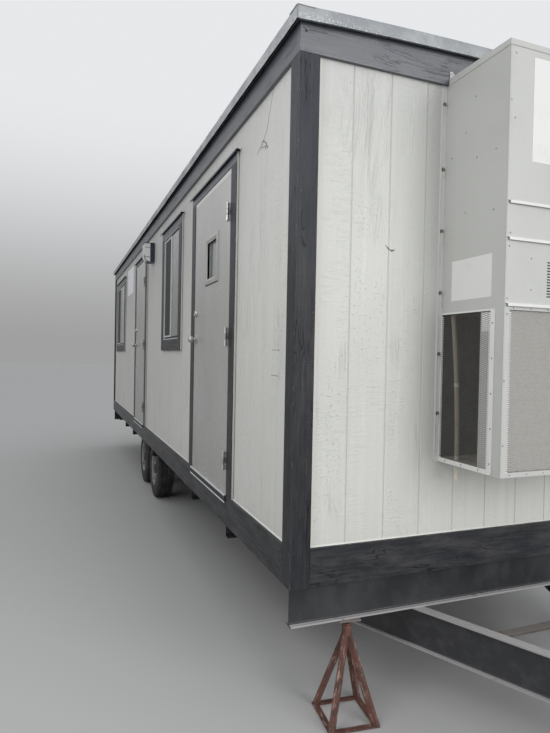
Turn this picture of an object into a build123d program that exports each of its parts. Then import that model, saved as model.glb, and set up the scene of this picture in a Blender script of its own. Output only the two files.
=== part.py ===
"""A portable site cabin: a timber-clad office box on a steel trailer chassis.

+X points along the cabin towards its hitch, the doors are on the -Y side, +Z is up.
The origin is on the ground, at the middle of the whole outline.  Millimetres.
"""
import os
from math import cos, radians, sin, sqrt, tan

from build123d import *

os.makedirs("parts", exist_ok=True)

# Body, over the siding
BODY_LENGTH = 8534
BODY_WIDTH = 2438
WALL = 100
TRIM = 19
CORNER_BOARD = 100

# Heights above the ground
CHASSIS_CLEARANCE = 472
BEAM_DEPTH = 203
FLOOR_JOIST = 140
FLOOR_DECK = 19
BAND_LAP = 21
DOOR_TO_FASCIA = 198

# Steel beams of the chassis
BEAM_FLANGE = 58
BEAM_WEB = 6
FLANGE_THICK = 8
BEAM_TO_TYRE = 104
CROSS_DEPTH = 100
CROSS_WIDTH = 50
CROSS_SHEET = 6
CROSS_AHEAD = 4
CROSS_BEHIND = 3
CROSS_TO_TYRE = 130

# Tongue and coupler
TONGUE_ANGLE = 25.6
TONGUE_FLANGE = 50
TONGUE_DEPTH = 196
SOCKET_TO_APEX = 104
TONGUE_TAIL = 640
TONGUE_REACH = 1245
BRACE_OUT = 200
BRACE_SIZE = 40
BRACE_SHEET = 6
BRACE_DROP = 64
COUPLER_RADIUS = 55
COUPLER_HEIGHT = 95
COUPLER_PLATE = 10
COUPLER_PLATE_LENGTH = 260
COUPLER_PLATE_HALF = 150
SOCKET_RADIUS = 30
SOCKET_DEPTH = 60

# Wheels and running gear
TYRE_RADIUS = 332
TYRE_WIDTH = 200
TYRE_INSET = 81
RIM_RADIUS = 184
HUB_RADIUS = 62
SPINDLE_RADIUS = 25
BEARING_CLEARANCE = 0.1
FRONT_AXLE_BACK = 4441
AXLE_SPACING = 851
AXLE_TUBE_RADIUS = 30
SPRING_WIDTH = 45
SPRING_LEAF = 24
SPRING_HALF = 340
SPRING_ABOVE_AXLE = 18
HANGER_THICK = 30

# Jack stands under the hitch-end beam
JACK_ALONG = 301
JACK_TURN = -6
JACK_BASE = 250
JACK_BAR = 30
JACK_BAR_THICK = 6
JACK_LEG = 26
JACK_HEAD_RADIUS = 27
JACK_HEAD_HEIGHT = 46
JACK_SCREW_RADIUS = 13
JACK_SCREW_SHOW = 30
JACK_PLATE = (86, 110, 8)

# Roof
ROOF_EDGE_HEIGHT = 173
ROOF_CROWN = 30
ROOF_SHEET = 4
EDGE_METAL = 4
EDGE_FACE = 60
EDGE_OVERHANG = 30
EDGE_LEG = 90

# Doors
NEAR_DOOR_WIDTH = 936
FAR_DOOR_WIDTH = 813
DOOR_HEIGHT = 1997
DOOR_THICK = 44
DOOR_SILL_GAP = 14
DOOR_GAP = 5
DOOR_RECESS = 3
NEAR_DOOR_BACK = 1021
FAR_DOOR_BACK = 4644
JAMB = 30
JAMB_STOP = 14
DOOR_CASING = 108
DOOR_HEAD = 62
THRESHOLD_NOSE = 12
THRESHOLD_DROP = 30
THRESHOLD_GAP = 5

# Drip caps over doors and windows
CAP_THICK = 12
CAP_PROJECTION = 15
CAP_LAP = 30

# Hinges and door furniture
HINGE_FIRST = 204
HINGE_PITCH = 763
HINGE_COUNT = 3
HINGE_LENGTH = 114
HINGE_STANDOFF = 22
KNUCKLE_RADIUS = 8
HINGE_PIN_RADIUS = 3
HINGE_CLEARANCE = 0.3
LEAF_THICK = 2
LEAF_DEPTH = 45
LATCH_BACKSET = 70
KNOB_HEIGHT = 970
BOLT_HEIGHT = 1164
ROSE_RADIUS = 33
ROSE_THICK = 9
KNOB_NECK_RADIUS = 11
KNOB_RADIUS = 27
KNOB_REACH = 62
BOLT_RADIUS = 27
BOLT_THICK = 20

# Small glazed light in the near door
LIGHT_SIZE = 250
LIGHT_FRAME = 42
LIGHT_FRAME_PROUD = 10
LIGHT_CENTRE_UP = 1510
LIGHT_TO_HINGE = 35
LIGHT_GLASS = 8

# Windows, the near one placed from the hitch end and the far one from the far end
NEAR_WINDOW_BACK = 2970
NEAR_WINDOW_WIDTH = 725
FAR_WINDOW_FORWARD = 1035
FAR_WINDOW_WIDTH = 1090
WINDOW_HEIGHT = 993
WINDOW_TO_FASCIA = 208
WINDOW_CASING = 114
WINDOW_HEAD = 77
WINDOW_APRON = 105
WINDOW_LIP = 15
WINDOW_FRAME = 25
WINDOW_FRAME_DEPTH = 40
WINDOW_SETBACK = 3
WINDOW_STILE = 35
GLASS = 6
GLASS_SETBACK = 8
GLASS_STEP = 16

# Wall light between the near window and the far door
LAMP_TO_FAR_HINGE = 519
LAMP_TO_FASCIA = 103
LAMP_WIDTH = 150
LAMP_HEIGHT = 214
LAMP_HOUSING = 50
LAMP_REACH = 120
LAMP_LID = 8

# Air-conditioning unit on the hitch end
AC_WIDTH = 876
AC_DEPTH = 419
AC_HEIGHT = 1849
AC_SHEET = 3
AC_FLANGE = 27
AC_CAP_HEIGHT = 32
AC_CAP_LIP = 3
AC_BAY_BOTTOM = 22
AC_BAY_TOP = 725
AC_SIDE_BACK = 6
AC_SIDE_FRONT = 85
AC_FRONT_SIDE = 28
AC_LIP = 10
AC_LIP_HEIGHT = 16
AC_PANEL_JOINTS = (740, 1022, 1178)
COIL_DEPTH = 138
COIL_SETBACK = 8
GUARD = 2
GUARD_FRAME = 3
GUARD_FRAME_TOP = 8
GUARD_FRAME_FRONT = 37
GUARD_FRAME_CORNER = 16
PIPE_RADIUS = 14
PIPE_FROM_SIDE = 32
PIPE_TOP_FROM_WALL = 48
PIPE_FOOT_FROM_WALL = 98
PIPE_BOW = 12
PIPE_RUN_ON = 20
DRAIN_RADIUS = 14
DRAIN_DROP = 75

# Outline of the whole object, and the faces of the body in it
outline_length = BODY_LENGTH + 2 * TRIM + EDGE_OVERHANG + TONGUE_REACH
outline_width = BODY_WIDTH + TRIM + EDGE_OVERHANG + LAMP_REACH
hitch_face = outline_length / 2 - TONGUE_REACH - TRIM
far_face = hitch_face - BODY_LENGTH
door_face = -outline_width / 2 + LAMP_REACH
back_face = door_face + BODY_WIDTH
middle_y = (door_face + back_face) / 2
hitch_trim = hitch_face + TRIM
far_trim = far_face - TRIM
door_trim = door_face - TRIM
back_trim = back_face + TRIM

# Levels
beam_top = CHASSIS_CLEARANCE + BEAM_DEPTH
joist_top = beam_top + FLOOR_JOIST
floor_level = joist_top + FLOOR_DECK
band_bottom = beam_top - BAND_LAP
door_bottom = floor_level + DOOR_SILL_GAP
door_top = door_bottom + DOOR_HEIGHT
wall_top = door_top + DOOR_TO_FASCIA
roof_edge = wall_top + ROOF_EDGE_HEIGHT
window_top = wall_top - WINDOW_TO_FASCIA
window_bottom = window_top - WINDOW_HEIGHT
lamp_top = wall_top - LAMP_TO_FASCIA
lamp_bottom = lamp_top - LAMP_HEIGHT
ac_top = wall_top
ac_bottom = ac_top - AC_HEIGHT
slab_face = door_trim + DOOR_RECESS

# Chassis lines
tyre_y = (door_face + TYRE_INSET + TYRE_WIDTH / 2, back_face - TYRE_INSET - TYRE_WIDTH / 2)
beam_from_tyre = TYRE_WIDTH / 2 + BEAM_TO_TYRE + BEAM_FLANGE / 2
main_beam_y = (tyre_y[0] + beam_from_tyre, tyre_y[1] - beam_from_tyre)
header_x = hitch_face - BEAM_FLANGE / 2
rear_beam_x = far_face + BEAM_FLANGE / 2
axle_x = (hitch_face - FRONT_AXLE_BACK, hitch_face - FRONT_AXLE_BACK - AXLE_SPACING)

# Doors as hinge line and width, windows as middle and width of the opening
near_hinge_x = hitch_face - NEAR_DOOR_BACK
far_hinge_x = hitch_face - FAR_DOOR_BACK
near_door = (near_hinge_x, NEAR_DOOR_WIDTH)
far_door = (far_hinge_x, FAR_DOOR_WIDTH)
near_window = (hitch_face - NEAR_WINDOW_BACK, NEAR_WINDOW_WIDTH)
far_window = (far_face + FAR_WINDOW_FORWARD, FAR_WINDOW_WIDTH)


def block(x_range, y_range, z_range, mode=Mode.ADD):
    """Add a block that fills the three ranges, or cut it away."""
    ranges = (x_range, y_range, z_range)
    with Locations([tuple((low + high) / 2 for low, high in ranges)]):
        Box(*(high - low for low, high in ranges), mode=mode)


def rod(start, end, radius, mode=Mode.ADD):
    """Add a round bar from start to end, or bore it away."""
    line = Vector(*end) - Vector(*start)
    with BuildSketch(Plane(origin=start, z_dir=line)) as profile:
        Circle(radius)
    extrude(profile.sketch, amount=line.length, mode=mode)


def i_beam(start, end, flange=BEAM_FLANGE, depth=BEAM_DEPTH):
    """Add an I beam whose section is centred on the level line from start to end."""
    line = Vector(*end) - Vector(*start)
    across = (-line.Y, line.X, 0)
    side = (flange - BEAM_WEB) / 2
    with BuildSketch(Plane(origin=start, x_dir=across, z_dir=line)) as profile:
        Rectangle(flange, depth)
        with Locations(((BEAM_WEB + side) / 2, 0), (-(BEAM_WEB + side) / 2, 0)):
            Rectangle(side, depth - 2 * FLANGE_THICK, mode=Mode.SUBTRACT)
    extrude(profile.sketch, amount=line.length)


def save(builder, name):
    """Label one finished piece and write it to its file."""
    builder.part.label = name
    export_step(builder.part, f"parts/{name}.step")


# Cross beams at the two ends of the chassis
beam_middle = CHASSIS_CLEARANCE + BEAM_DEPTH / 2
with BuildPart() as hitch_beam:
    i_beam((header_x, door_face, beam_middle), (header_x, back_face, beam_middle))
save(hitch_beam, "hitch_end_beam")

with BuildPart() as rear_beam:
    i_beam((rear_beam_x, door_face, beam_middle), (rear_beam_x, back_face, beam_middle))
save(rear_beam, "far_end_beam")

# Long beams between them
long_beam_ends = (far_face + BEAM_FLANGE, hitch_face - BEAM_FLANGE)
for side_name, beam_y in zip(("door_side", "back_side"), main_beam_y):
    with BuildPart() as long_beam:
        i_beam((long_beam_ends[0], beam_y, beam_middle), (long_beam_ends[1], beam_y, beam_middle))
    save(long_beam, f"long_beam_{side_name}")

# Channels across the chassis, in three lengths between the long beams and the rims
ahead_start = hitch_face - BEAM_FLANGE
ahead_end = axle_x[0] + TYRE_RADIUS + CROSS_TO_TYRE
behind_start = axle_x[1] - TYRE_RADIUS - CROSS_TO_TYRE
behind_end = far_face + BEAM_FLANGE
ahead_pitch = (ahead_start - ahead_end) / CROSS_AHEAD
behind_pitch = (behind_start - behind_end) / CROSS_BEHIND
cross_x = [ahead_start - ahead_pitch * (i + 1) for i in range(CROSS_AHEAD)]
cross_x += [behind_start - behind_pitch * i for i in range(CROSS_BEHIND)]
half_web = BEAM_WEB / 2
cross_spans = (
    (door_face, main_beam_y[0] - half_web),
    (main_beam_y[0] + half_web, main_beam_y[1] - half_web),
    (main_beam_y[1] + half_web, back_face),
)
cross_top = beam_top - FLANGE_THICK
with BuildPart() as cross_channels:
    for x in cross_x:
        for span in cross_spans:
            channel_x = (x - CROSS_WIDTH / 2, x + CROSS_WIDTH / 2)
            block(channel_x, span, (cross_top - CROSS_DEPTH, cross_top))
            hollow_x = (channel_x[0] + CROSS_SHEET, channel_x[1])
            hollow_z = (cross_top - CROSS_DEPTH + CROSS_SHEET, cross_top - CROSS_SHEET)
            block(hollow_x, span, hollow_z, mode=Mode.SUBTRACT)
save(cross_channels, "cross_channels")

# Tongue: two beams that meet in front, under the hitch-end beam
tongue_z = CHASSIS_CLEARANCE - TONGUE_DEPTH / 2
slope = tan(radians(TONGUE_ANGLE))
socket_x = hitch_trim + TONGUE_REACH - COUPLER_RADIUS
apex_x = socket_x - SOCKET_TO_APEX
tail_x = hitch_trim - TONGUE_TAIL
centre_cut = Plane(origin=(0, middle_y, 0), z_dir=(0, 1, 0))
for side_name, side, keep in (("door_side", -1, Keep.BOTTOM), ("back_side", 1, Keep.TOP)):
    tail_y = middle_y + side * (apex_x - tail_x) * slope
    with BuildPart() as tongue_beam:
        i_beam((tail_x, tail_y, tongue_z), (apex_x, middle_y, tongue_z), TONGUE_FLANGE, TONGUE_DEPTH)
        split(bisect_by=centre_cut, keep=keep)
    save(tongue_beam, f"tongue_beam_{side_name}")

# Angle bar between the two tongue beams
brace_x = hitch_trim + BRACE_OUT
brace_half = (apex_x - brace_x) * slope - BEAM_WEB / 2 / cos(radians(TONGUE_ANGLE))
brace_top = CHASSIS_CLEARANCE - BRACE_DROP
brace_run = (middle_y - brace_half, middle_y + brace_half)
trim_run = BRACE_SIZE * slope
with BuildPart() as tongue_brace:
    with BuildSketch(Plane.XY.offset(brace_top - BRACE_SIZE)):
        with BuildLine():
            Polyline(
                (brace_x, brace_run[0]),
                (brace_x, brace_run[1]),
                (brace_x + BRACE_SIZE, brace_run[1] - trim_run),
                (brace_x + BRACE_SIZE, brace_run[0] + trim_run),
                close=True,
            )
        make_face()
    extrude(amount=BRACE_SIZE)
    hollow_x = (brace_x + BRACE_SHEET, brace_x + BRACE_SIZE)
    hollow_z = (brace_top - BRACE_SIZE, brace_top - BRACE_SHEET)
    block(hollow_x, brace_run, hollow_z, mode=Mode.SUBTRACT)
save(tongue_brace, "tongue_brace")

# Ball coupler: a plate on the two beams and a round socket that opens downwards
plate_back = socket_x - COUPLER_PLATE_LENGTH
socket_top = CHASSIS_CLEARANCE + COUPLER_PLATE
socket_bottom = socket_top - COUPLER_HEIGHT
with BuildPart() as coupler:
    with BuildSketch(Plane.XY.offset(CHASSIS_CLEARANCE)):
        with BuildLine():
            Polyline(
                (plate_back, middle_y - COUPLER_PLATE_HALF),
                (socket_x, middle_y - COUPLER_RADIUS),
                (socket_x, middle_y + COUPLER_RADIUS),
                (plate_back, middle_y + COUPLER_PLATE_HALF),
                close=True,
            )
        make_face()
    extrude(amount=COUPLER_PLATE)
    rod((socket_x, middle_y, socket_bottom), (socket_x, middle_y, socket_top), COUPLER_RADIUS)
    socket_roof = socket_bottom + SOCKET_DEPTH
    socket_ends = ((socket_x, middle_y, socket_bottom), (socket_x, middle_y, socket_roof))
    rod(*socket_ends, SOCKET_RADIUS, mode=Mode.SUBTRACT)
save(coupler, "coupler")

# Axles: a tube with a spindle at each end and a pad under each spring
hub_inner = TYRE_WIDTH / 2 - 30
spring_seat = TYRE_RADIUS + AXLE_TUBE_RADIUS + SPRING_ABOVE_AXLE
tube_ends = (tyre_y[0] + hub_inner + 10, tyre_y[1] - hub_inner - 10)
spindle_ends = (tyre_y[0] - TYRE_WIDTH / 4, tyre_y[1] + TYRE_WIDTH / 4)
with BuildPart() as axles:
    for x in axle_x:
        rod((x, tube_ends[0], TYRE_RADIUS), (x, tube_ends[1], TYRE_RADIUS), AXLE_TUBE_RADIUS)
        rod((x, spindle_ends[0], TYRE_RADIUS), (x, spindle_ends[1], TYRE_RADIUS), SPINDLE_RADIUS)
        for beam_y in main_beam_y:
            pad_x = (x - AXLE_TUBE_RADIUS, x + AXLE_TUBE_RADIUS)
            pad_y = (beam_y - SPRING_WIDTH / 2, beam_y + SPRING_WIDTH / 2)
            block(pad_x, pad_y, (TYRE_RADIUS, spring_seat))
save(axles, "axles")

# Leaf springs, hung under the long beams
spring_eye = CHASSIS_CLEARANCE - SPRING_LEAF
hanger_x = (
    axle_x[0] + SPRING_HALF,
    (axle_x[0] + axle_x[1]) / 2,
    axle_x[1] - SPRING_HALF,
)
for side_name, beam_y in zip(("door_side", "back_side"), main_beam_y):
    with BuildPart() as springs:
        side_plane = Plane(origin=(0, beam_y + SPRING_WIDTH / 2, 0), x_dir=(1, 0, 0), z_dir=(0, -1, 0))
        with BuildSketch(side_plane):
            for x, outer_eye in zip(axle_x, (hanger_x[0], hanger_x[2])):
                left, right = sorted((outer_eye, hanger_x[1]))
                with BuildLine():
                    lower = Polyline(
                        (left, spring_eye - SPRING_LEAF),
                        (x - AXLE_TUBE_RADIUS, spring_seat),
                        (x + AXLE_TUBE_RADIUS, spring_seat),
                        (right, spring_eye - SPRING_LEAF),
                    )
                    upper = Polyline(
                        (right, spring_eye),
                        (x + AXLE_TUBE_RADIUS, spring_seat + SPRING_LEAF),
                        (x - AXLE_TUBE_RADIUS, spring_seat + SPRING_LEAF),
                        (left, spring_eye),
                    )
                    Line(lower @ 1, upper @ 0)
                    Line(upper @ 1, lower @ 0)
                make_face()
            for x in hanger_x:
                with Locations((x, CHASSIS_CLEARANCE - SPRING_LEAF)):
                    Rectangle(HANGER_THICK, 2 * SPRING_LEAF)
        extrude(amount=SPRING_WIDTH)
    save(springs, f"springs_{side_name}")

# Wheels: a tyre on a dished rim, turning on the spindle
for end_name, x in zip(("front", "rear"), axle_x):
    for side_name, y, out in zip(("door_side", "back_side"), tyre_y, (-1, 1)):
        half = TYRE_WIDTH / 2
        wheel_plane = Plane(origin=(x, y, TYRE_RADIUS), x_dir=(0, out, 0), z_dir=(out, 0, 0))
        bore = SPINDLE_RADIUS + BEARING_CLEARANCE
        with BuildPart() as wheel:
            with BuildSketch(wheel_plane):
                with BuildLine():
                    Polyline(
                        (-half + 30, bore),
                        (-half + 30, HUB_RADIUS),
                        (-half + 45, HUB_RADIUS + 20),
                        (-half + 45, RIM_RADIUS - 16),
                        (-half + 8, RIM_RADIUS - 8),
                        (-half + 8, RIM_RADIUS + 6),
                        (-half, RIM_RADIUS + 50),
                        (-half + 4, TYRE_RADIUS - 45),
                        (-half + 22, TYRE_RADIUS),
                        (half - 22, TYRE_RADIUS),
                        (half - 4, TYRE_RADIUS - 45),
                        (half, RIM_RADIUS + 50),
                        (half - 8, RIM_RADIUS + 6),
                        (half - 8, RIM_RADIUS - 8),
                        (half - 70, RIM_RADIUS - 16),
                        (half - 70, HUB_RADIUS + 20),
                        (half - 60, HUB_RADIUS),
                        (half - 14, HUB_RADIUS - 6),
                        (half - 14, 0),
                        (half / 2 + 5, 0),
                        (half / 2 + 5, bore),
                        close=True,
                    )
                make_face()
            revolve(axis=Axis((x, y, TYRE_RADIUS), (0, 1, 0)))
        save(wheel, f"wheel_{end_name}_{side_name}")

# Jack stands: four splayed legs on a square of flat bar, with a screw and a head plate
plate_bottom = CHASSIS_CLEARANCE - JACK_PLATE[2]
head_top = plate_bottom - JACK_SCREW_SHOW
head_bottom = head_top - JACK_HEAD_HEIGHT
foot = (JACK_BASE - JACK_BAR) / 2
with BuildPart() as jack_stand:
    with BuildSketch():
        Rectangle(JACK_BASE, JACK_BASE)
        Rectangle(JACK_BASE - 2 * JACK_BAR, JACK_BASE - 2 * JACK_BAR, mode=Mode.SUBTRACT)
    extrude(amount=JACK_BAR_THICK)
    for across, along in ((1, 1), (1, -1), (-1, 1), (-1, -1)):
        leg_foot = Vector(across * foot, along * foot, 0)
        leg = Vector(0, 0, head_bottom + JACK_HEAD_HEIGHT / 2) - leg_foot
        with BuildSketch(Plane(origin=leg_foot, x_dir=(-along, across, 0), z_dir=leg)):
            Rectangle(JACK_LEG, JACK_LEG)
        extrude(amount=leg.length)
    under_base = (-JACK_BASE, JACK_BASE)
    block(under_base, under_base, (-JACK_BASE, 0), mode=Mode.SUBTRACT)
    rod((0, 0, head_bottom), (0, 0, head_top), JACK_HEAD_RADIUS)
    rod((0, 0, head_bottom), (0, 0, plate_bottom), JACK_SCREW_RADIUS)
    plate_x = (-JACK_PLATE[0] / 2, JACK_PLATE[0] / 2)
    plate_y = (-JACK_PLATE[1] / 2, JACK_PLATE[1] / 2)
    block(plate_x, plate_y, (plate_bottom, CHASSIS_CLEARANCE))
for side_name, jack_y, turn in (
    ("door_side", door_face + JACK_ALONG, JACK_TURN),
    ("back_side", back_face - JACK_ALONG, -JACK_TURN),
):
    with BuildPart() as placed_stand:
        with Locations(Location((header_x, jack_y, 0), (0, 0, turn))):
            add(jack_stand.part)
    save(placed_stand, f"jack_stand_{side_name}")

# Floor: an insulated joist layer and the deck on it
body_x = (far_face, hitch_face)
body_y = (door_face, back_face)
with BuildPart() as floor_joists:
    block(body_x, body_y, (beam_top, joist_top))
save(floor_joists, "floor_structure")

with BuildPart() as floor_deck:
    block(body_x, body_y, (joist_top, floor_level))
save(floor_deck, "floor_deck")

# Openings along the door side, as ranges of x
rough = DOOR_GAP + JAMB


def door_range(door, extra):
    """The span of a door along the wall, widened by extra on both sides."""
    return (door[0] - door[1] - extra, door[0] + extra)


def window_range(window, extra):
    """The span of a window opening along the wall, widened by extra on both sides."""
    return (window[0] - window[1] / 2 - extra, window[0] + window[1] / 2 + extra)


near_rough = door_range(near_door, rough)
far_rough = door_range(far_door, rough)
wall_z = (floor_level, wall_top)
rough_top = door_top + rough
door_wall_y = (door_face, door_face + WALL)
back_wall_y = (back_face - WALL, back_face)
window_z = (window_bottom - WINDOW_LIP, window_top + WINDOW_LIP)


def cut_window(window, wall_y):
    """Cut one window through the wall that is being made."""
    block(window_range(window, WINDOW_LIP), wall_y, window_z, mode=Mode.SUBTRACT)


with BuildPart() as wall_hitch_corner:
    block((near_rough[1], hitch_face), door_wall_y, wall_z)
save(wall_hitch_corner, "door_wall_by_hitch")

with BuildPart() as wall_over_near_door:
    block(near_rough, door_wall_y, (rough_top, wall_top))
save(wall_over_near_door, "door_wall_over_near_door")

with BuildPart() as wall_between_doors:
    block((far_rough[1], near_rough[0]), door_wall_y, wall_z)
    cut_window(near_window, door_wall_y)
save(wall_between_doors, "door_wall_between_doors")

with BuildPart() as wall_over_far_door:
    block(far_rough, door_wall_y, (rough_top, wall_top))
save(wall_over_far_door, "door_wall_over_far_door")

with BuildPart() as wall_far_corner:
    block((far_face, far_rough[0]), door_wall_y, wall_z)
    cut_window(far_window, door_wall_y)
save(wall_far_corner, "door_wall_by_far_end")

with BuildPart() as back_wall:
    block(body_x, back_wall_y, wall_z)
    cut_window(near_window, back_wall_y)
    cut_window(far_window, back_wall_y)
save(back_wall, "back_wall")

end_wall_y = (door_face + WALL, back_face - WALL)
with BuildPart() as hitch_wall:
    block((hitch_face - WALL, hitch_face), end_wall_y, wall_z)
save(hitch_wall, "hitch_end_wall")

with BuildPart() as far_wall:
    block((far_face, far_face + WALL), end_wall_y, wall_z)
save(far_wall, "far_end_wall")

# Roof: its underside is flat, its top is bowed across the width
half_over_trim = BODY_WIDTH / 2 + TRIM
bow_radius = (half_over_trim**2 + ROOF_CROWN**2) / (2 * ROOF_CROWN)


def bow(offset, level):
    """A point on the bow of the roof, whose level is given at the trim face."""
    rise = sqrt(bow_radius**2 - offset**2) - sqrt(bow_radius**2 - half_over_trim**2)
    return (offset, level + rise)


def bowed_section(half, high, low=None, floor=None):
    """Draw a roof section: bowed above, and bowed at low or flat at floor below."""
    with BuildLine() as outline:
        top = ThreePointArc(bow(-half, high), bow(0, high), bow(half, high))
        if floor is None:
            under = ThreePointArc(bow(half, low), bow(0, low), bow(-half, low))
        else:
            under = Line((half, floor), (-half, floor))
        Line(top @ 1, under @ 0)
        Line(under @ 1, top @ 0)
    make_face(outline.edges())


def section_plane(x):
    """The plane across the body at x, where a sketch's own x runs along Y."""
    return Plane(origin=(x, middle_y, 0), x_dir=(0, 1, 0), z_dir=(1, 0, 0))


with BuildPart() as roof_frame:
    with BuildSketch(section_plane(far_face)):
        bowed_section(BODY_WIDTH / 2, roof_edge, floor=wall_top)
    extrude(amount=BODY_LENGTH)
save(roof_frame, "roof_structure")

sheet_top = roof_edge + ROOF_SHEET
trim_length = BODY_LENGTH + 2 * TRIM
with BuildPart() as roof_sheet:
    with BuildSketch(section_plane(far_trim)):
        bowed_section(half_over_trim, sheet_top, low=roof_edge)
    extrude(amount=trim_length)
save(roof_sheet, "roof_sheet")

with BuildPart() as fascia:
    with BuildSketch(section_plane(far_trim)):
        bowed_section(half_over_trim, roof_edge, floor=wall_top)
    extrude(amount=trim_length)
    block(body_x, body_y, (wall_top, roof_edge + ROOF_CROWN + TRIM), mode=Mode.SUBTRACT)
save(fascia, "fascia")

edge_top = sheet_top + EDGE_METAL
edge_half = half_over_trim + EDGE_OVERHANG
edge_inner_x = (far_trim - EDGE_OVERHANG + EDGE_LEG, hitch_trim + EDGE_OVERHANG - EDGE_LEG)
edge_inner_y = (middle_y - edge_half + EDGE_LEG, middle_y + edge_half - EDGE_LEG)
with BuildPart() as edge_flashing:
    with BuildSketch(section_plane(far_trim - EDGE_OVERHANG)):
        bowed_section(edge_half, edge_top, low=edge_top - EDGE_FACE)
    extrude(amount=trim_length + 2 * EDGE_OVERHANG)
    with BuildSketch(section_plane(far_trim)):
        bowed_section(half_over_trim, sheet_top, floor=wall_top)
    extrude(amount=trim_length, mode=Mode.SUBTRACT)
    above_roof = (wall_top, edge_top + 2 * ROOF_CROWN)
    block(edge_inner_x, edge_inner_y, above_roof, mode=Mode.SUBTRACT)
save(edge_flashing, "roof_edge_flashing")

# Corner boards, an angle of two boards at each corner
with BuildPart() as corner_boards:
    for trim_x, inward_x in ((far_trim, 1), (hitch_trim, -1)):
        for trim_y, inward_y in ((door_trim, 1), (back_trim, -1)):
            board_x = sorted((trim_x, trim_x + inward_x * CORNER_BOARD))
            board_y = sorted((trim_y, trim_y + inward_y * CORNER_BOARD))
            block(board_x, board_y, (band_bottom, wall_top))
    block(body_x, body_y, (band_bottom, wall_top), mode=Mode.SUBTRACT)
save(corner_boards, "corner_boards")

# Base band, four boards between the corner boards
band_z = (band_bottom, floor_level)
band_x = (far_trim + CORNER_BOARD, hitch_trim - CORNER_BOARD)
band_y = (door_trim + CORNER_BOARD, back_trim - CORNER_BOARD)
with BuildPart() as base_band:
    block(band_x, (door_trim, door_face), band_z)
    block(band_x, (back_face, back_trim), band_z)
    block((hitch_face, hitch_trim), band_y, band_z)
    block((far_trim, far_face), band_y, band_z)
save(base_band, "base_band")

# Window casings: boards round the opening, a deep apron below and a drip cap above
window_sides = (("door", door_face, -1), ("back", back_face, 1))
casing_top = window_top + WINDOW_HEAD
with BuildPart() as window_casings:
    for side_name, face, out in window_sides:
        board_y = sorted((face, face + out * TRIM))
        cap_y = sorted((face, face + out * (TRIM + CAP_PROJECTION)))
        for window in (near_window, far_window):
            opening_x = window_range(window, 0)
            apron_z = (window_bottom - WINDOW_APRON, window_bottom)
            block(window_range(window, WINDOW_CASING), board_y, (apron_z[0], casing_top))
            opening_z = (window_bottom, window_top)
            block(opening_x, board_y, opening_z, mode=Mode.SUBTRACT)
            cap_z = (casing_top, casing_top + CAP_THICK)
            block(window_range(window, WINDOW_CASING + CAP_LAP), cap_y, cap_z)
save(window_casings, "window_casings")

# Window frames: a ring and a meeting stile, wider in the wall than between the casings
pane_z = (window_bottom + WINDOW_FRAME, window_top - WINDOW_FRAME)
frame_proud = TRIM - WINDOW_SETBACK
with BuildPart() as window_frames:
    for side_name, face, out in window_sides:
        frame_y = sorted((face + out * frame_proud, face - out * WINDOW_FRAME_DEPTH))
        flange_y = sorted((face, face - out * WINDOW_FRAME_DEPTH))
        for window in (near_window, far_window):
            block(window_range(window, WINDOW_LIP), flange_y, window_z)
            block(window_range(window, 0), frame_y, (window_bottom, window_top))
            ring = window_range(window, -WINDOW_FRAME)
            centre = window[0]
            left_x = (ring[0], centre - WINDOW_STILE / 2)
            right_x = (centre + WINDOW_STILE / 2, ring[1])
            block(left_x, frame_y, pane_z, mode=Mode.SUBTRACT)
            block(right_x, frame_y, pane_z, mode=Mode.SUBTRACT)
save(window_frames, "window_frames")

# Panes, two to a window, one of them a step behind the other
for side_name, face, out in window_sides:
    with BuildPart() as panes:
        for window in (near_window, far_window):
            ring = window_range(window, -WINDOW_FRAME)
            centre = window[0]
            for pane_x, step in (
                ((centre + WINDOW_STILE / 2, ring[1]), 0),
                ((ring[0], centre - WINDOW_STILE / 2), GLASS_STEP),
            ):
                front = face + out * (frame_proud - GLASS_SETBACK - step)
                block(pane_x, sorted((front, front - out * GLASS)), pane_z)
    save(panes, f"window_glass_{side_name}_side")

# Door frames: jambs and head with a stop behind the slab, casing boards and a drip cap
stop_face = slab_face + DOOR_THICK + DOOR_GAP
casing_y = (door_trim, door_face)
for place, door in (("near", near_door), ("far", far_door)):
    clear_x = door_range(door, DOOR_GAP)
    clear_z = (floor_level, door_top + DOOR_GAP)
    with BuildPart() as door_frame:
        block(door_range(door, rough), door_wall_y, (floor_level, rough_top))
        head_top = door_top + DOOR_GAP + DOOR_HEAD
        block(door_range(door, DOOR_GAP + DOOR_CASING), casing_y, (floor_level, head_top))
        cap_x = door_range(door, DOOR_GAP + DOOR_CASING + CAP_LAP)
        cap_y = (door_trim - CAP_PROJECTION, door_face)
        block(cap_x, cap_y, (head_top, head_top + CAP_THICK))
        block(clear_x, (door_trim, stop_face), clear_z, mode=Mode.SUBTRACT)
        way_x = (clear_x[0] + JAMB_STOP, clear_x[1] - JAMB_STOP)
        way_z = (floor_level, clear_z[1] - JAMB_STOP)
        block(way_x, (stop_face, door_face + WALL), way_z, mode=Mode.SUBTRACT)
    save(door_frame, f"door_frame_{place}")

# Thresholds: a plate across the sill with a nose over the base band
with BuildPart() as thresholds:
    for door in (near_door, far_door):
        sill_z = (floor_level, door_bottom - THRESHOLD_GAP)
        sill_x = door_range(door, DOOR_GAP)
        block(sill_x, (door_trim, stop_face), sill_z)
        inner_x = (sill_x[0] + JAMB_STOP, sill_x[1] - JAMB_STOP)
        block(inner_x, (stop_face, door_face + WALL), sill_z)
        nose_y = (door_trim - THRESHOLD_NOSE, door_trim)
        block(sill_x, nose_y, (floor_level - THRESHOLD_DROP, sill_z[1]))
save(thresholds, "thresholds")

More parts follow.
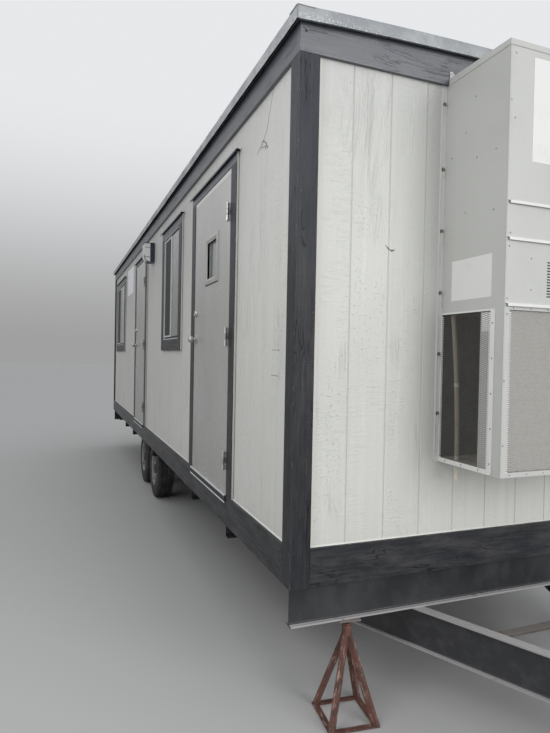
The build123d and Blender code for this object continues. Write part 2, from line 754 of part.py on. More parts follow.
# Door slabs, with a light cut through the near one
slab_y = (slab_face, slab_face + DOOR_THICK)
light_x = near_hinge_x - NEAR_DOOR_WIDTH / 2 + LIGHT_TO_HINGE
light_z = door_bottom + LIGHT_CENTRE_UP
half_light = LIGHT_SIZE / 2
glazed_x = (light_x - half_light, light_x + half_light)
glazed_z = (light_z - half_light, light_z + half_light)
with BuildPart() as near_slab:
    block(door_range(near_door, 0), slab_y, (door_bottom, door_top))
    block(glazed_x, slab_y, glazed_z, mode=Mode.SUBTRACT)
save(near_slab, "door_near")

with BuildPart() as far_slab:
    block(door_range(far_door, 0), slab_y, (door_bottom, door_top))
save(far_slab, "door_far")

pane_middle = slab_face + DOOR_THICK / 2
with BuildPart() as light_glass:
    block(glazed_x, (pane_middle - LIGHT_GLASS / 2, pane_middle + LIGHT_GLASS / 2), glazed_z)
save(light_glass, "door_near_glass")

frame_x = (glazed_x[0] - LIGHT_FRAME, glazed_x[1] + LIGHT_FRAME)
frame_z = (glazed_z[0] - LIGHT_FRAME, glazed_z[1] + LIGHT_FRAME)
with BuildPart() as light_frames:
    for frame_y in (
        (slab_face - LIGHT_FRAME_PROUD, slab_face),
        (slab_face + DOOR_THICK, slab_face + DOOR_THICK + DOOR_GAP),
    ):
        block(frame_x, frame_y, frame_z)
        block(glazed_x, frame_y, glazed_z, mode=Mode.SUBTRACT)
save(light_frames, "door_near_light_frame")

# Hinges: the pin, the two end knuckles and a leaf stay on the frame
pin_y = slab_face - HINGE_STANDOFF
hinge_z = [door_bottom + HINGE_FIRST + HINGE_PITCH * i for i in range(HINGE_COUNT)]
knuckle = HINGE_LENGTH / 3


def pin_x(hinge_x):
    """The pin stands in the middle of the gap between slab and frame."""
    return hinge_x + DOOR_GAP / 2


with BuildPart() as fixed_hinges:
    for hinge_x in (near_hinge_x, far_hinge_x):
        for z in hinge_z:
            x = pin_x(hinge_x)
            low = z - HINGE_LENGTH / 2
            rod((x, pin_y, low), (x, pin_y, low + HINGE_LENGTH), HINGE_PIN_RADIUS)
            for start in (low, low + 2 * knuckle):
                rod((x, pin_y, start), (x, pin_y, start + knuckle), KNUCKLE_RADIUS)
                leaf_x = (hinge_x + DOOR_GAP - LEAF_THICK, hinge_x + DOOR_GAP)
                block(leaf_x, (pin_y, pin_y + LEAF_DEPTH), (start, start + knuckle))
save(fixed_hinges, "door_hinges")

# Door furniture: knob, bolt and the moving leaf and knuckle of each hinge
for place, door in (("near", near_door), ("far", far_door)):
    hinge_x, door_width = door
    latch_x = hinge_x - door_width + LATCH_BACKSET
    knob_z = door_bottom + KNOB_HEIGHT
    bolt_z = door_bottom + BOLT_HEIGHT
    with BuildPart() as furniture:
        rod((latch_x, slab_face, knob_z), (latch_x, slab_face - ROSE_THICK, knob_z), ROSE_RADIUS)
        neck_end = slab_face - KNOB_REACH + KNOB_RADIUS
        rod((latch_x, slab_face, knob_z), (latch_x, neck_end, knob_z), KNOB_NECK_RADIUS)
        with Locations((latch_x, neck_end, knob_z)):
            Sphere(KNOB_RADIUS)
        rod((latch_x, slab_face, bolt_z), (latch_x, slab_face - BOLT_THICK, bolt_z), BOLT_RADIUS)
        for z in hinge_z:
            x = pin_x(hinge_x)
            low = z - knuckle / 2 + HINGE_CLEARANCE
            high = z + knuckle / 2 - HINGE_CLEARANCE
            rod((x, pin_y, low), (x, pin_y, high), KNUCKLE_RADIUS)
            block((hinge_x, hinge_x + LEAF_THICK), (pin_y, pin_y + LEAF_DEPTH), (low, high))
            pin_bore = HINGE_PIN_RADIUS + HINGE_CLEARANCE
            rod((x, pin_y, low), (x, pin_y, high), pin_bore, mode=Mode.SUBTRACT)
    save(furniture, f"door_{place}_furniture")

# Wall light: a housing with a lid over it, and a lens that curves back underneath
lamp_x = far_hinge_x + LAMP_TO_FAR_HINGE
lamp_span = (lamp_x - LAMP_WIDTH / 2, lamp_x + LAMP_WIDTH / 2)
lens_back = door_face - LAMP_HOUSING
lens_front = door_face - LAMP_REACH
with BuildPart() as lamp_housing:
    block(lamp_span, (lens_back, door_face), (lamp_bottom, lamp_top))
    block(lamp_span, (lens_front, door_face), (lamp_top - LAMP_LID, lamp_top))
save(lamp_housing, "wall_light_housing")

lens_depth = lens_back - lens_front
lens_top = lamp_top - LAMP_LID
with BuildPart() as lamp_lens:
    with BuildSketch(Plane(origin=(lamp_span[0], 0, 0), x_dir=(0, 1, 0), z_dir=(1, 0, 0))):
        with BuildLine():
            start = Line((lens_back, lamp_bottom), (lens_back, lens_top))
            roof = Line(start @ 1, (lens_front, lens_top))
            drop = Line(roof @ 1, (lens_front, lamp_bottom + lens_depth))
            corner = lens_depth * (1 - cos(radians(45)))
            bend_point = (lens_front + corner, lamp_bottom + corner)
            ThreePointArc(drop @ 1, bend_point, start @ 0)
        make_face()
    extrude(amount=LAMP_WIDTH)
save(lamp_lens, "wall_light_lens")

# Air-conditioning unit: a closed upper part over an open condenser bay
ac_x = (hitch_face, hitch_face + AC_DEPTH)
ac_y = (middle_y - AC_WIDTH / 2, middle_y + AC_WIDTH / 2)
bay_z = (ac_bottom + AC_BAY_BOTTOM, ac_bottom + AC_BAY_TOP)
bay_x = (ac_x[0] + AC_SHEET, ac_x[1] - AC_SHEET)
bay_y = (ac_y[0] + AC_SHEET, ac_y[1] - AC_SHEET)
side_hole_x = (ac_x[0] + AC_SIDE_BACK, ac_x[1] - AC_SIDE_FRONT)
front_hole_y = (ac_y[0] + AC_FRONT_SIDE, ac_y[1] - AC_FRONT_SIDE)
with BuildPart() as ac_cabinet:
    block(ac_x, ac_y, (ac_bottom, ac_top))
    flange_y = (ac_y[0] - AC_FLANGE, ac_y[1] + AC_FLANGE)
    block((ac_x[0], ac_x[0] + AC_SHEET), flange_y, (ac_bottom, ac_top))
    block(bay_x, bay_y, bay_z, mode=Mode.SUBTRACT)
    block(side_hole_x, ac_y, bay_z, mode=Mode.SUBTRACT)
    block((ac_x[1] - AC_SHEET, ac_x[1]), front_hole_y, bay_z, mode=Mode.SUBTRACT)
save(ac_cabinet, "ac_cabinet")

with BuildPart() as ac_cap:
    cap_x = (hitch_trim, ac_x[1] + AC_CAP_LIP)
    cap_y = (ac_y[0] - AC_CAP_LIP, ac_y[1] + AC_CAP_LIP)
    block(cap_x, cap_y, (ac_top - AC_CAP_LIP, ac_top + AC_CAP_HEIGHT - AC_CAP_LIP))
    block(ac_x, ac_y, (ac_bottom, ac_top), mode=Mode.SUBTRACT)
save(ac_cap, "ac_cap")

# Drip lips where the front panels meet
with BuildPart() as ac_lips:
    for joint in AC_PANEL_JOINTS:
        lip_x = (ac_x[1], ac_x[1] + AC_LIP)
        lip_z = (ac_bottom + joint, ac_bottom + joint + AC_LIP_HEIGHT)
        block(lip_x, ac_y, lip_z)
save(ac_lips, "ac_front_lips")

with BuildPart() as ac_coil:
    coil_x = (ac_x[1] - AC_SHEET - COIL_SETBACK - COIL_DEPTH, ac_x[1] - AC_SHEET - COIL_SETBACK)
    block(coil_x, (bay_y[0] + GUARD, bay_y[1] - GUARD), bay_z)
save(ac_coil, "ac_coil")

# Mesh guards over the front and side holes of the bay
with BuildPart() as ac_guards:
    block((ac_x[1] - AC_SHEET - GUARD, ac_x[1] - AC_SHEET), bay_y, bay_z)
    guard_x = (bay_x[0], coil_x[1])
    block(guard_x, (bay_y[0], bay_y[0] + GUARD), bay_z)
    block(guard_x, (bay_y[1] - GUARD, bay_y[1]), bay_z)
save(ac_guards, "ac_guards")

# Frames that hold the side guards, with the front corners cut
holder_x = (ac_x[0] + AC_SHEET, ac_x[1] - AC_SIDE_FRONT + GUARD_FRAME_FRONT)
holder_z = (ac_bottom, bay_z[1] + GUARD_FRAME_TOP)
cut = GUARD_FRAME_CORNER
with BuildPart() as ac_guard_frames:
    for side_y, out in ((ac_y[0], -1), (ac_y[1], 1)):
        holder_y = sorted((side_y, side_y + out * GUARD_FRAME))
        with BuildSketch(Plane(origin=(0, holder_y[1], 0), x_dir=(1, 0, 0), z_dir=(0, -1, 0))):
            with BuildLine():
                Polyline(
                    (holder_x[0], holder_z[0]),
                    (holder_x[1] - cut, holder_z[0]),
                    (holder_x[1], holder_z[0] + cut),
                    (holder_x[1], holder_z[1] - cut),
                    (holder_x[1] - cut, holder_z[1]),
                    (holder_x[0], holder_z[1]),
                    close=True,
                )
            make_face()
        extrude(amount=GUARD_FRAME)
        block(side_hole_x, holder_y, bay_z, mode=Mode.SUBTRACT)
save(ac_guard_frames, "ac_guard_frames")

# A leaning, bowed pipe inside the bay, and a drain under the cabinet
pipe_x = (ac_x[0] + PIPE_FOOT_FROM_WALL, ac_x[0] + PIPE_TOP_FROM_WALL)
pipe_y = ac_y[0] + PIPE_FROM_SIDE
pipe_middle = ((pipe_x[0] + pipe_x[1]) / 2 + PIPE_BOW, (bay_z[0] + bay_z[1]) / 2)
with BuildPart() as ac_pipes:
    with BuildLine():
        run = ThreePointArc(
            (pipe_x[0], pipe_y, bay_z[0] - PIPE_RUN_ON),
            (pipe_middle[0], pipe_y, pipe_middle[1]),
            (pipe_x[1], pipe_y, bay_z[1] + PIPE_RUN_ON),
        )
    with BuildSketch(run ^ 0):
        Circle(PIPE_RADIUS)
    sweep()
    block(bay_x, bay_y, bay_z, mode=Mode.INTERSECT)
    rod((pipe_x[0], pipe_y, ac_bottom - DRAIN_DROP), (pipe_x[0], pipe_y, ac_bottom), DRAIN_RADIUS)
save(ac_pipes, "ac_pipes")
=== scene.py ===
"""The looks of a portable site cabin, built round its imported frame.  Metres.

+X points along the cabin towards its hitch, the doors are on the -Y side, +Z is up.
"""
import random
from itertools import product
from math import cos, pi, radians, sin, sqrt, tan

import bpy
from mathutils import Matrix, Vector, noise


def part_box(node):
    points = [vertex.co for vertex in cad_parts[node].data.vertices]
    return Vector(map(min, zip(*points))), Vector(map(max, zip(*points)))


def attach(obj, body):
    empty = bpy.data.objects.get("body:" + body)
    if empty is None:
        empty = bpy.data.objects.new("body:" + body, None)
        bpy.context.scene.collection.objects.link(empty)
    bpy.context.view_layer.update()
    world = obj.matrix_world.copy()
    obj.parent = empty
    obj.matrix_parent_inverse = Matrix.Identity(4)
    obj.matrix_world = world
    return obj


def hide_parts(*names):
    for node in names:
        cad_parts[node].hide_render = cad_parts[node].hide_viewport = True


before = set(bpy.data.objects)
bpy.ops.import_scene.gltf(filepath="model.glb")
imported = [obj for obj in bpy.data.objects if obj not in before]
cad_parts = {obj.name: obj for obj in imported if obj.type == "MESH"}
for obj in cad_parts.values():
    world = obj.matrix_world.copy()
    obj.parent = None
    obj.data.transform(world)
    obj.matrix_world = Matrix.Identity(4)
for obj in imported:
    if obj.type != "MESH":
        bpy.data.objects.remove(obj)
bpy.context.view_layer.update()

EAST, NORTH, UP = Vector((1, 0, 0)), Vector((0, 1, 0)), Vector((0, 0, 1))
SHARP = radians(35)

# Faces of the body and of its trim, read from the frame
wall_low, wall_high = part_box("back_wall")
trim_low, trim_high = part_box("corner_boards")
edge_low, edge_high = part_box("roof_edge_flashing")
far_face, hitch_face = wall_low.x, wall_high.x
door_face, back_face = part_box("door_wall_by_hitch")[0].y, wall_high.y
far_trim, hitch_trim = trim_low.x, trim_high.x
door_trim, back_trim = trim_low.y, trim_high.y
middle_y = (door_face + back_face) / 2
floor_level, wall_top = wall_low.z, wall_high.z
band_bottom = trim_low.z
wall_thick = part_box("door_wall_by_hitch")[1].y - door_face
trim_thick = hitch_trim - hitch_face
SIDES = (("door_side", door_face, door_trim, -1), ("back_side", back_face, back_trim, 1))
ENDS = ((hitch_face, hitch_trim, 1), (far_face, far_trim, -1))

GROOVE_PITCH, GROOVE_WIDTH, GROOVE_SLOPE, GROOVE_DEPTH = 0.2032, 0.009, 0.0035, 0.0032
NAIL, NAIL_PITCH, NAIL_STRAY = 0.0035, 0.41, 0.012


# Shapes

def inset(span, by):
    """A span with both of its ends moved in."""
    return (span[0] + by, span[1] - by)


def area(section):
    """Twice the signed area of a closed outline of pairs."""
    return sum(a[0] * b[1] - b[0] * a[1] for a, b in zip(section, section[1:] + section[:1]))


def arc(centre, radius, start, end, steps):
    """Points on an arc of pairs, angles in degrees, both ends included."""
    angles = [radians(start + (end - start) * i / steps) for i in range(steps + 1)]
    return [(centre[0] + radius * cos(a), centre[1] + radius * sin(a)) for a in angles]


def disc(radius, low, high):
    """The profile of a plain disc, for turning."""
    return [(0, low), (radius, low), (radius, high), (0, high)]


def spokes(count, first=0.0):
    """Directions spread evenly round an axis along the axles."""
    angles = [2 * pi * (i + first) / count for i in range(count)]
    return [EAST * cos(angle) + UP * sin(angle) for angle in angles]


def skin(rows, count, closed=True, loop=False):
    """Faces between rows of points, closed round each row and perhaps from the last row to the first."""
    faces = []
    for row in range(rows if loop else rows - 1):
        low, high = row * count, (row + 1) % rows * count
        for j in range(count if closed else count - 1):
            k = (j + 1) % count
            faces.append([low + j, low + k, high + k, high + j])
    return faces


def caps(count, last):
    """The two end faces of a skin whose last row starts at a number."""
    return [list(reversed(range(count))), [last + i for i in range(count)]]


def turned(faces):
    """The same faces seen from behind."""
    return [face[:1] + face[:0:-1] for face in faces]


def outward(points, faces, centre):
    """Turn each face of a convex solid so that it looks away from the centre."""
    result = []
    for face in faces:
        a, b, c = (Vector(points[i]) for i in face[:3])
        facing = (b - a).cross(c - b).dot(a - centre) > 0
        result.append(face if facing else face[::-1])
    return result


def grain_of(corners, along, shift):
    """Grain coordinates of a face, in metres: first along the grain and then across it."""
    normal = (corners[1] - corners[0]).cross(corners[2] - corners[1])
    across = along.cross(normal)
    if across.length < 0.2 * normal.length or normal.length == 0:
        across = along.orthogonal().normalized()
        along = along.cross(across)
    else:
        across.normalize()
    return [(c.dot(along) + shift[0], c.dot(across) + shift[1]) for c in corners]


def placed(name, data):
    """A new object in the scene."""
    thing = bpy.data.objects.new(name, data)
    bpy.context.scene.collection.objects.link(thing)
    return thing


class Shape:
    """Collects the faces of one piece, each with a finish, a mark and grain coordinates."""

    def __init__(self, seed):
        self.points, self.faces, self.finishes, self.marks, self.grain = [], [], [], [], []
        self.finish = 0
        self.random = random.Random(seed)

    def add(self, points, faces, along=UP, marks=None, finishes=None):
        """Add faces over points, with the grain running along a direction."""
        base = len(self.points)
        points = [Vector(p) for p in points]
        self.points += points
        self.faces += [[base + i for i in face] for face in faces]
        self.finishes += finishes or [self.finish] * len(faces)
        self.marks += marks or [0.0] * len(faces)
        shift = (self.random.uniform(0, 20), self.random.uniform(0, 20))
        for face in faces:
            self.grain += grain_of([points[i] for i in face], along, shift)

    def block(self, x, y, z, bevel=0.0015, along=None):
        """Add a block with chamfered edges, whose chamfers are marked."""
        ranges = [sorted(r) for r in (x, y, z)]
        sizes = [high - low for low, high in ranges]
        bevel = min(bevel, 0.4 * min(sizes))
        points = []
        for sign in product((0, 1), repeat=3):
            for axis in range(3):
                points.append([ranges[k][s] + (bevel, -bevel)[s] * (k != axis) for k, s in enumerate(sign)])
        faces = []
        around = ((0, 0), (1, 0), (1, 1), (0, 1))
        for axis in range(3):
            b, c = [k for k in range(3) if k != axis]

            def corner(s, sb, sc, kind):
                sign = {axis: s, b: sb, c: sc}
                return 3 * (4 * sign[0] + 2 * sign[1] + sign[2]) + kind

            faces += [[corner(s, sb, sc, axis) for sb, sc in around] for s in (0, 1)]
            for sb, sc in around:
                faces.append([corner(s, sb, sc, kind) for s, kind in ((0, b), (1, b), (1, c), (0, c))])
        faces += [[3 * i, 3 * i + 1, 3 * i + 2] for i in range(8)]
        marks = ([0.0] * 2 + [1.0] * 4) * 3 + [1.0] * 8
        centre = Vector([(low + high) / 2 for low, high in ranges])
        along = along or (EAST, NORTH, UP)[sizes.index(max(sizes))]
        self.add(points, outward(points, faces, centre), along, marks)

    def bar(self, middle, half, *rest):
        """Add a block whose first span is given by its middle and half width."""
        self.block((middle - half, middle + half), *rest)

    def prism(self, section, start, end, up=UP, worn=None, shear=(0, 0)):
        """Extrude a closed section of (right, up) pairs along a line, with caps that may be sheared."""
        start, end = Vector(start), Vector(end)
        line = (end - start).normalized()
        right = line.cross(up).normalized()
        up = right.cross(line)
        if area(section) < 0:
            section = section[::-1]
        count = len(section)
        points = []
        for base, slant in zip((start, end), shear):
            points += [base + right * a + up * b + line * (slant * a) for a, b in section]
        faces = [face[::-1] for face in caps(count, count)] + turned(skin(2, count))
        after = section[1:] + section[:1]
        middles = [((a[0] + b[0]) / 2, (a[1] + b[1]) / 2) for a, b in zip(section, after)]
        marks = [0.0, 0.0] + [worn(*middle) if worn else 0.0 for middle in middles]
        self.add(points, faces, line, marks)

    def plate(self, outline, depth, along=UP, worn=0.0):
        """Give a flat outline of points a thickness, as a vector."""
        outline = [Vector(p) for p in outline]
        turn = sum((a.cross(b) for a, b in zip(outline, outline[1:] + outline[:1])), Vector())
        if turn.dot(depth) < 0:
            outline = outline[::-1]
        count = len(outline)
        points = outline + [p + depth for p in outline]
        self.add(points, caps(count, count) + skin(2, count), along, [0.0, 0.0] + [worn] * count)

    def lathe(self, profile, origin, axis, steps=32, closed=False):
        """Turn a profile of (radius, height) pairs about an axis."""
        origin, axis = Vector(origin), Vector(axis).normalized()
        side = axis.orthogonal().normalized()
        other = axis.cross(side)
        if area(profile) < 0:
            profile = profile[::-1]
        points, rings = [], []
        for radius, height in profile:
            turns = steps if radius > 1e-6 else 1
            rings.append([len(points) + i for i in range(turns)])
            for i in range(turns):
                angle = 2 * pi * i / turns
                spoke = side * cos(angle) + other * sin(angle)
                points.append(origin + axis * height + spoke * radius)
        faces = []
        for low, high in zip(rings, rings[1:] + (rings[:1] if closed else [])):
            for i in range(steps):
                j = (i + 1) % steps
                face = [low[i % len(low)], low[j % len(low)], high[j % len(high)], high[i % len(high)]]
                face = [p for k, p in enumerate(face) if p != face[k - 1]]
                if len(face) > 2:
                    faces.append(face)
        ends = [] if closed else [rings[0][::-1], rings[-1]]
        self.add(points, faces + [end for end in ends if len(end) > 1], axis)

    def tube(self, path, radius, steps=12):
        """Sweep a circle along a path of points, with caps."""
        path = [Vector(p) for p in path]
        points = []
        side = (path[1] - path[0]).orthogonal().normalized()
        for number, point in enumerate(path):
            ahead = path[min(number + 1, len(path) - 1)] - path[max(number - 1, 0)]
            ahead.normalize()
            side = (side - ahead * side.dot(ahead)).normalized()
            other = ahead.cross(side)
            for i in range(steps):
                angle = 2 * pi * i / steps
                points.append(point + (side * cos(angle) + other * sin(angle)) * radius)
        faces = skin(len(path), steps) + caps(steps, len(points) - steps)
        self.add(points, faces, (path[-1] - path[0]).normalized())

    def panel(self, across, out, level, wide, tall, thick, holes=(), grooves=(), back=None):
        """Add an upright panel with holes through it and grooves down its front."""
        lip = GROOVE_WIDTH / 2
        edges = (lip, -lip, lip - GROOVE_SLOPE, GROOVE_SLOPE - lip)
        us = {*wide, *(groove + edge for groove in grooves for edge in edges)}
        us |= {u for hole in holes for u in hole[0]}
        us = sorted(u for u in us if wide[0] <= u <= wide[1])
        vs = sorted(v for v in {*tall, *(v for hole in holes for v in hole[1])} if tall[0] <= v <= tall[1])

        def depth(u):
            gap = min([abs(u - groove) for groove in grooves] or [1])
            return GROOVE_DEPTH * max(0, min(1, (lip - gap) / GROOVE_SLOPE))

        def solid(i, j):
            if not (0 <= i < len(us) - 1 and 0 <= j < len(vs) - 1):
                return False
            u, v = (us[i] + us[i + 1]) / 2, (vs[j] + vs[j + 1]) / 2
            return not any(a[0] < u < a[1] and b[0] < v < b[1] for a, b in holes)

        def at(corner, layer):
            return (corner[0] * len(vs) + corner[1]) * 2 + layer

        points = []
        for u, v in product(us, vs):
            points += [across * u + UP * v + out * (level - d) for d in (depth(u), thick)]
        faces, marks, finishes = [], [], []
        flip = across.cross(UP).dot(out) < 0
        back = self.finish if back is None else back
        for i, j in product(range(len(us) - 1), range(len(vs) - 1)):
            if not solid(i, j):
                continue
            corners = [(i, j), (i + 1, j), (i + 1, j + 1), (i, j + 1)]
            cell = [[at(c, 0) for c in corners], [at(c, 1) for c in reversed(corners)]]
            for k, (di, dj) in enumerate(((0, -1), (1, 0), (0, 1), (-1, 0))):
                if not solid(i + di, j + dj):
                    a, b = corners[k], corners[(k + 1) % 4]
                    cell.append([at(a, 0), at(a, 1), at(b, 1), at(b, 0)])
            groove = depth((us[i] + us[i + 1]) / 2) > 0
            faces += [face[::-1] if flip else face for face in cell]
            marks += [1.0 if groove else 0.0] + [0.0] * (len(cell) - 1)
            finishes += [self.finish] + [back] * (len(cell) - 1)
        self.add(points, faces, UP, marks, finishes)

    def screw(self, place, out, radius=0.005, height=0.002, sides=8):
        """Add a low domed screw or nail head."""
        dome = [(0, -height / 2), (radius, -height / 2), (radius, height * 0.35)]
        dome += [(radius * 0.6, height * 0.85), (0, height)]
        self.lathe(dome, place, out, sides)

    def nails(self, start, end, across, out, spread):
        """Nail heads in pairs along a board, a little uneven."""
        start, end = Vector(start), Vector(end)
        count = max(1, int((end - start).length / NAIL_PITCH))
        for i in range(count + 1):
            along = start.lerp(end, (i + 0.5) / (count + 1))
            for side in (-1, 1):
                stray = self.random.uniform(-NAIL_STRAY, NAIL_STRAY)
                place = along + across * (side * spread + stray) + (end - start).normalized() * stray
                self.screw(place, out, NAIL, 0.0008)

    def lag_bolt(self, place, out, radius):
        """Add a hexagon head on a round washer."""
        self.lathe(disc(radius * 1.6, -0.001, 0.002), place, out, 20)
        head = [(0, 0.001), (radius, 0.001), (radius, 0.007), (radius * 0.8, 0.008), (0, 0.008)]
        self.lathe(head, place, out, 6)

    def build(self, name, looks, node=None, body="cabin"):
        """Make the piece, which rides on a body and may stand for a node of the frame."""
        mesh = bpy.data.meshes.new(name)
        mesh.from_pydata(self.points, [], self.faces)
        mesh.polygons.foreach_set("material_index", self.finishes)
        mesh.polygons.foreach_set("use_smooth", [True] * len(self.faces))
        mesh.attributes.new("mark", "FLOAT", "FACE").data.foreach_set("value", self.marks)
        mesh.uv_layers.new(name="grain").data.foreach_set("uv", [c for pair in self.grain for c in pair])
        for look in looks:
            mesh.materials.append(look)
        mesh.set_sharp_from_angle(angle=SHARP)
        piece = placed(name, mesh)
        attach(piece, body)
        if node:
            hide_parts(node)


# Finishes

class Look:
    """A node material under construction."""

    def __init__(self, name, color, roughness, metallic=0.0, **sockets):
        self.material = bpy.data.materials.new(name)
        self.material.use_nodes = True
        self.tree = self.material.node_tree
        self.shader = self.tree.nodes["Principled BSDF"]
        sockets |= {"Base_Color": (*color, 1), "Roughness": roughness, "Metallic": metallic}
        for socket, value in sockets.items():
            self.shader.inputs[socket.replace("_", " ")].default_value = value
        self.color = color
        self.normal = None
        self.gloss = None

    def node(self, kind, inputs=None, **settings):
        """Add a node, with its settings and what feeds its sockets."""
        node = self.tree.nodes.new("ShaderNode" + kind)
        for name, value in settings.items():
            setattr(node, name, value)
        for socket, value in (inputs or {}).items():
            if isinstance(value, bpy.types.NodeSocket):
                self.tree.links.new(value, node.inputs[socket])
            else:
                node.inputs[socket].default_value = value
        return node

    def place(self, name):
        """Grain coordinates or object coordinates."""
        if name == "grain":
            return self.node("UVMap", uv_map=name).outputs["UV"]
        return self.node("TexCoord").outputs["Object"]

    def noise(self, waves, detail=4.0, roughness=0.6, distortion=0.0):
        """Noise with so many waves a metre: a pair along and across the grain, else in space."""
        if isinstance(waves, (int, float)):
            waves = (waves,) * 3
        place = self.place("grain" if len(waves) == 2 else "object")
        mapped = self.node("Mapping", {"Vector": place, "Scale": (*waves, 1)[:3]}).outputs["Vector"]
        sockets = {"Vector": mapped, "Scale": 1.0, "Detail": detail, "Roughness": roughness}
        return self.node("TexNoise", sockets | {"Distortion": distortion}).outputs["Fac"]

    def mark(self):
        """The mark that the faces of a shape carry."""
        return self.node("Attribute", attribute_name="mark").outputs["Fac"]

    def height(self):
        """Height above the ground, in metres."""
        return self.node("SeparateXYZ", {"Vector": self.place("object")}).outputs["Z"]

    def math(self, operation, first, second=0.0):
        """One sum on two values."""
        return self.node("Math", {0: first, 1: second}, operation=operation).outputs[0]

    def times(self, first, second):
        """The product of two values."""
        return self.math("MULTIPLY", first, second)

    def step(self, value, low, high, result=(0.0, 1.0)):
        """Spread a value from one range to another, smoothly and without overshoot."""
        sockets = {"Value": value, "From Min": low, "From Max": high}
        sockets |= {"To Min": result[0], "To Max": result[1]}
        return self.node("MapRange", sockets, interpolation_type="SMOOTHSTEP").outputs["Result"]

    def stain(self, amount, color):
        """Cover the colour so far with another one where amount is high."""
        below = self.color if isinstance(self.color, bpy.types.NodeSocket) else (*self.color, 1)
        node = self.node("Mix", {0: amount}, data_type="RGBA")
        node.inputs[7].default_value = (*color, 1)
        if isinstance(below, tuple):
            node.inputs[6].default_value = below
        else:
            self.tree.links.new(below, node.inputs[6])
        self.color = node.outputs[2]

    def cover(self, value, low, high, amount, color):
        """Stain by a share that rises between two levels of a value."""
        self.stain(self.step(value, low, high, (0, amount)), color)

    def bump(self, value, distance, strength):
        """Add relief of so many metres."""
        sockets = {"Height": value, "Distance": distance, "Strength": strength}
        if self.normal:
            sockets["Normal"] = self.normal
        self.normal = self.node("Bump", sockets).outputs["Normal"]

    def layer(self, waves, stain=None, bump=None, gloss=None):
        """Use one noise for a stain, for relief and for a range of roughness, and return the look."""
        value = self.noise(*waves)
        if stain:
            self.cover(value, *stain)
        if bump:
            self.bump(value, *bump)
        if gloss:
            self.gloss = self.step(value, 0.3, 0.7, gloss)
        return self

    def done(self):
        """Join what was made to the shader and return the material."""
        for value, socket in ((self.color, "Base Color"), (self.gloss, "Roughness"), (self.normal, "Normal")):
            if isinstance(value, bpy.types.NodeSocket):
                self.tree.links.new(value, self.shader.inputs[socket])
        return self.material


def siding_look(name, color):
    """Grey-white satin paint over embossed wood grain, dusty low down and darker in its grooves, with painted
    shade towards the top and painted highlight and shade on its relief.
    """
    look = Look(name, color, 0.42, Specular_IOR_Level=0.35)
    look.layer(((0.9, 1.6), 3), (0.35, 0.75, 0.35, (0.545, 0.55, 0.515)), None, (0.36, 0.5))
    runs = look.noise((0.6, 26), 5, 0.7)
    look.cover(runs, 0.52, 0.80, 0.38, (0.45, 0.45, 0.42))
    look.cover(runs, 0.46, 0.34, 0.42, (0.68, 0.685, 0.65))
    low = look.step(look.height(), floor_level + 0.25, floor_level, (0, 0.15))
    look.stain(look.times(low, look.noise((3, 9))), (0.48, 0.46, 0.41))
    # Painted shade: darker towards the top of the wall.
    look.cover(look.height(), wall_top - 1.1, wall_top, 0.5, (0.46, 0.465, 0.455))
    look.cover(look.mark(), 0, 1, 0.16, (0.36, 0.36, 0.34))
    rings = look.math("SINE", look.times(look.noise((0.8, 7), 3, 0.55, 1.2), 95.0))
    fading = look.step(look.noise((1.3, 3.5), 2), 0.50, 0.66)
    look.bump(look.times(rings, fading), 0.0013, 0.8)
    clusters = look.step(look.noise((1.6, 4), 3, 0.7), 0.43, 0.59)
    dashes = look.noise((85, 13), 4, 0.6, 0.8)
    # Painted highlight on the raised dashes, over their real bump, and painted shade on the sunk ones.
    raised = look.times(look.step(dashes, 0.46, 0.72), clusters)
    look.stain(look.times(raised, 0.12), (0.70, 0.71, 0.67))
    sunk_painted_shade = look.times(look.step(dashes, 0.42, 0.30), clusters)
    look.stain(look.times(sunk_painted_shade, 0.07), (0.38, 0.385, 0.36))
    look.bump(raised, 0.0011, 0.9)
    bands = look.step(look.noise((1.1, 6), 3, 0.6), 0.44, 0.60)
    # Pale pimples: painted highlight over their real bump.
    pimples_and_painted_highlight = look.times(look.step(look.noise((95, 72), 2, 0.5), 0.61, 0.72), bands)
    look.stain(look.times(pimples_and_painted_highlight, 0.30), (0.72, 0.73, 0.69))
    look.bump(pimples_and_painted_highlight, 0.0023, 0.9)
    return look.layer(((7, 120), 3), None, (0.0009, 0.9)).done()


def trim_look(name, color=(0.024, 0.025, 0.029), pale=(0.054, 0.056, 0.062), shine=0.12, dusty=0.3):
    """Charcoal paint on rough-sawn boards, worn pale along the edges, with painted sky reflection that is
    paler and bluer towards the top.
    """
    look = Look(name, color, 0.36, Specular_IOR_Level=shine)
    look.layer(((2.2, 90), 5, 0.7), (0.45, 0.75, 0.7, pale), None, (0.42, 0.30))
    look.layer(((4, 16), 5, 0.7), (0.36, 0.78, dusty, (0.088, 0.087, 0.084)))
    # Painted reflection of the sky: paler and bluer towards the top.
    look.cover(look.height(), wall_top - 1.3, wall_top, 0.4, (0.060, 0.065, 0.084))
    look.layer(((90, 130), 2, 0.5), (0.735, 0.78, 0.75, (0.34, 0.34, 0.33)))
    chips = look.step(look.noise((14, 55), 4, 0.7), 0.48, 0.68, (0.1, 0.85))
    look.stain(look.times(look.mark(), chips), (0.155, 0.153, 0.150))
    figure = look.math("SINE", look.times(look.noise((1.1, 9), 3, 0.5, 1.4), 62.0))
    knots = look.step(look.noise((2.6, 9), 2), 0.50, 0.60)
    cracks = look.times(look.step(figure, 0.88, 0.99), knots)
    look.stain(look.times(cracks, 0.75), tuple(c * 0.42 for c in color))
    look.bump(cracks, -0.0015, 0.8)
    sawn = look.noise((150, 9), 3)
    look.cover(sawn, 0.62, 0.74, 0.35, (0.070, 0.072, 0.076))
    look.layer(((3, 150), 4, 0.7), None, (0.0012, 0.6))
    look.bump(sawn, 0.0009, 0.8)
    return look.done()


